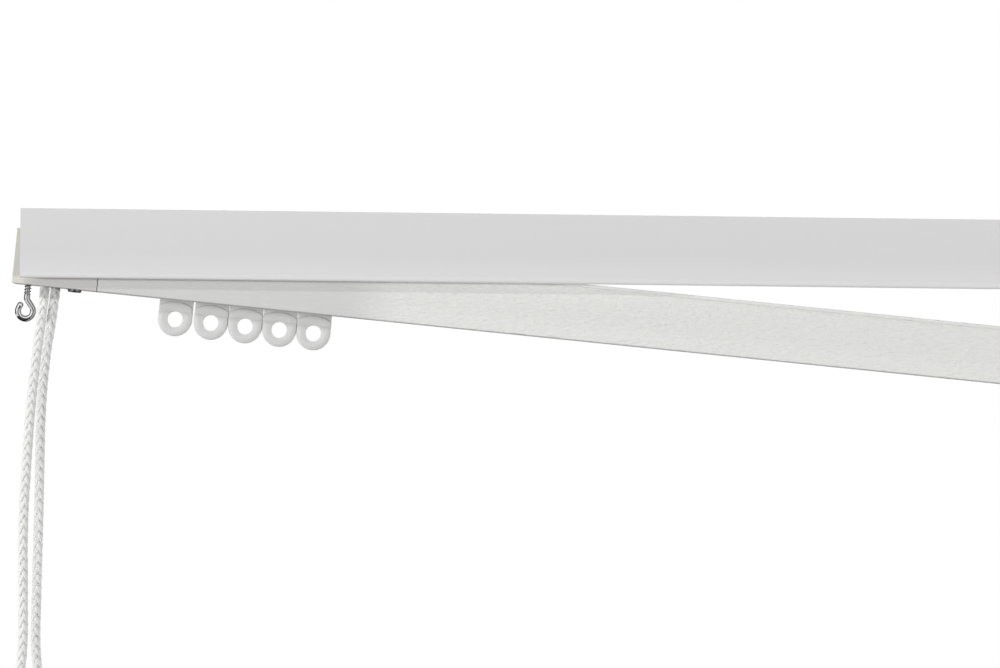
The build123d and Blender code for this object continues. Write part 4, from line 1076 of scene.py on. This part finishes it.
def screw_hook():
    """Chrome wire with a helical thread on its shank and a rounded tip."""
    line = hook_line()
    reach = lengths_along(line) / MM
    across, beside = front_frames(line)
    around = np.arange(HOOK_SIDES) / HOOK_SIDES * 2 * pi
    below_top = reach[:, None]
    thread_length = THREAD_TOP + THREAD_BELOW
    turn = below_top / THREAD_PITCH - around[None, :] / (2 * pi)
    from_crest = np.abs(turn % 1 - 0.5)
    crest = np.clip((THREAD_FOOT - from_crest) / (THREAD_FOOT - THREAD_TIP), 0.0, 1.0)
    threaded = THREAD_CORE + (THREAD_RADIUS - THREAD_CORE) * crest
    fade = np.clip((thread_length - below_top) / THREAD_FADE + 0.5, 0.0, 1.0)
    radius = HOOK_WIRE_RADIUS * (1 - fade) + threaded * fade
    to_tip = np.clip((reach[-1] - below_top) / HOOK_TIP_ROUND, 0, 1)
    shrink = np.clip(1 - (1 - to_tip) ** 2, HOOK_TIP_LEAST, 1.0)
    radius = radius * np.sqrt(shrink)
    sideways = np.cos(around)[None, :, None] * across[:, None, :]
    towards = np.sin(around)[None, :, None] * beside[:, None, :]
    corners = line[:, None, :] + MM * radius[..., None] * (sideways + towards)
    rows, columns = len(line), len(around)
    corners = np.concatenate((corners.reshape(-1, 3), line[:1], line[-1:]))
    faces = grid_faces(rows, columns).tolist()
    for step in range(columns):
        after = (step + 1) % columns
        faces.append([rows * columns, after, step])
        faces.append([rows * columns + 1, (rows - 1) * columns + step, (rows - 1) * columns + after])
    piece = mesh_object("chrome_hook", corners, faces)
    piece.data.set_sharp_from_angle(angle=HOOK_SHARP_ANGLE)
    return piece


hook = screw_hook()
dress(hook, chrome)
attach(hook, "track")
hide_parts("screw_hook")


# Tie round the hank
def tie_band():
    """Woven band round the waist, swelled a little between its edges."""
    low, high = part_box("hank_tie")
    middle = (low + high) / 2
    half_x, half_y = (high.x - low.x) / 2, (high.y - low.y) / 2
    corner = TIE_CORNER * MM
    outline = []
    for quarter in range(4):
        turn = quarter * pi / 2
        sign_x = 1 if quarter in (0, 3) else -1
        sign_y = 1 if quarter in (0, 1) else -1
        for step in range(TIE_CORNER_STEPS + 1):
            bend = turn + step / TIE_CORNER_STEPS * pi / 2
            outward = Vector((cos(bend), sin(bend), 0))
            base = Vector((sign_x * (half_x - corner), sign_y * (half_y - corner), 0))
            outline.append((base + outward * corner, outward))
    section = [(level, -TIE_BULGE * level**2 * MM) for level in TIE_LEVELS]
    section += [(level, -TIE_THICKNESS * MM) for level in reversed(TIE_LEVELS)]
    corners = []
    for place, outward in outline:
        for level, inset in section:
            height = Vector((0, 0, level * (high.z - low.z) / 2))
            corners.append(middle + place + outward * inset + height)
    rows, columns = len(outline), len(section)
    faces = grid_faces(rows, columns).tolist()
    for step in range(columns):
        after = (step + 1) % columns
        faces.append([(rows - 1) * columns + step, (rows - 1) * columns + after, after, step])
    return mesh_object("hank_band", corners, faces)


hank_band = tie_band()
dress(hank_band, tie_tape)
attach(hank_band, "track")
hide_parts("hank_tie")

dress(draw_cord, cord_white)
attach(draw_cord, "track")
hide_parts("pull_cord_front", "cord_hank", "pull_cord_rear")


# Floor and background
def seen_by(tree, *rays):
    """One for these kinds of rays, and nought for the others."""
    light_path = tree.nodes.new("ShaderNodeLightPath")
    seen = light_path.outputs[rays[0]]
    for ray in rays[1:]:
        seen = combined(tree, "MAXIMUM", seen, light_path.outputs[ray])
    return seen


def floor_material():
    """Pale floor that shows paler to the camera and keeps the object's shadow."""
    material = bpy.data.materials.new("pale_floor")
    material.use_nodes = True
    tree = material.node_tree
    tree.nodes.clear()
    output = tree.nodes.new("ShaderNodeOutputMaterial")
    diffuse = tree.nodes.new("ShaderNodeBsdfDiffuse")
    diffuse.inputs["Color"].default_value = FLOOR_COLOR
    glow = tree.nodes.new("ShaderNodeEmission")
    glow.inputs["Color"].default_value = WHITE
    glow.inputs["Strength"].default_value = FLOOR_GLOW
    shown = tree.nodes.new("ShaderNodeAddShader")
    tree.links.new(diffuse.outputs["BSDF"], shown.inputs[0])
    tree.links.new(glow.outputs["Emission"], shown.inputs[1])
    choice = tree.nodes.new("ShaderNodeMixShader")
    tree.links.new(seen_by(tree, "Is Camera Ray", "Is Glossy Ray"), choice.inputs["Fac"])
    tree.links.new(diffuse.outputs["BSDF"], choice.inputs[1])
    tree.links.new(shown.outputs["Shader"], choice.inputs[2])
    tree.links.new(choice.outputs["Shader"], output.inputs["Surface"])
    return material


def pale_floor():
    """Large flat floor under the object."""
    z_floor = cad_box[0][2] - FLOOR_BELOW * MM
    half = FLOOR_HALF_WIDTH * MM
    corners = [(x * half, y * half, z_floor) for x, y in ((-1, -1), (1, -1), (1, 1), (-1, 1))]
    floor_piece = mesh_object("floor", corners, [[0, 1, 2, 3]], smooth=False)
    dress(floor_piece, floor_material())


pale_floor()


def studio_world():
    """Even soft light, seen as white by the camera, in reflections and through clear parts."""
    world = bpy.data.worlds.new("studio")
    bpy.context.scene.world = world
    world.use_nodes = True
    tree = world.node_tree
    background = tree.nodes["Background"]
    background.inputs["Color"].default_value = WHITE
    seen = seen_by(tree, "Is Camera Ray", "Is Glossy Ray", "Is Transmission Ray")
    strength = mapped_range(tree, seen, start=0.0, end=1.0, low=WORLD_LIGHT, high=1.0)
    tree.links.new(strength, background.inputs["Strength"])


studio_world()


# Lights
def area_light(name, place, width, height, power):
    """Soft light that faces the object and is hidden from its reflections."""
    lamp = bpy.data.lights.new(name, "AREA")
    lamp.shape = "RECTANGLE"
    lamp.size = width
    lamp.size_y = height
    lamp.energy = power
    holder = bpy.data.objects.new(name, lamp)
    holder.location = LIGHT_AIM + Vector(place)
    holder.rotation_euler = (-Vector(place)).to_track_quat("-Z", "Y").to_euler()
    holder.visible_glossy = False
    bpy.context.scene.collection.objects.link(holder)


for name, (place, width, height, power) in LIGHTS.items():
    area_light(name, place, width, height, power)


def dark_flags():
    """Dark cards seen only in reflections: behind the camera, round the back and below the object."""
    corners, faces = [], []
    for number in range(CARD_SIDES):
        turned = 2 * pi * number / CARD_SIDES
        x, z = cos(turned), sin(turned)
        corners.append((FRONT_CARD_RADIUS * x, FRONT_CARD_Y, FRONT_CARD_RADIUS * z))
        corners.append((TUNNEL_RADIUS * x, TUNNEL_START, TUNNEL_RADIUS * z))
        corners.append((TUNNEL_RADIUS * x, TUNNEL_END, TUNNEL_RADIUS * z))
        after = (number + 1) % CARD_SIDES
        faces.append([3 * number + 1, 3 * number + 2, 3 * after + 2, 3 * after + 1])
    faces.append([3 * number for number in range(CARD_SIDES)])
    faces.append([len(corners) + number for number in range(len(FLOOR_CARD))])
    z_card = cad_box[0][2] - LIGHT_AIM.z - FLOOR_CARD_BELOW
    corners += [(x, y, z_card) for x, y in FLOOR_CARD]
    corners = [LIGHT_AIM + Vector(corner) for corner in corners]
    flags = mesh_object("dark_flags", corners, faces, smooth=False)
    dress(flags, new_material("dark_card", (0.02, 0.02, 0.02), roughness=0.9)[0])
    for ray in ("camera", "diffuse", "transmission", "volume_scatter", "shadow"):
        setattr(flags, f"visible_{ray}", False)


dark_flags()


def photo_camera():
    """Camera that looks along +Y from a little below and is rolled about its own axis."""
    lens = bpy.data.cameras.new("photo_camera")
    lens.sensor_width = SENSOR_WIDTH
    lens.lens = PX_PER_MM * CAMERA_FROM_RAIL_FRONT / PHOTO_WIDTH_PX * SENSOR_WIDTH
    lens.clip_start = CLIP_START
    camera = bpy.data.objects.new("photo_camera", lens)
    backward = Vector((0, -cos(CAMERA_BELOW), -sin(CAMERA_BELOW)))
    level = Vector((1, 0, 0))
    right = level * cos(CAMERA_ROLL) + backward.cross(level) * sin(CAMERA_ROLL)
    turned = Matrix((right, backward.cross(right), backward)).transposed().to_4x4()
    aim = Vector((x_left, rail_low.y, z_bottom)) + metres(AIM_FROM_LEFT_END, 0, AIM_ABOVE_RAIL_BOTTOM)
    camera.matrix_world = Matrix.Translation(aim + backward * CAMERA_FROM_RAIL_FRONT * MM) @ turned
    bpy.context.scene.collection.objects.link(camera)
    bpy.context.scene.camera = camera


photo_camera()
bpy.context.scene.view_settings.view_transform = "Standard"
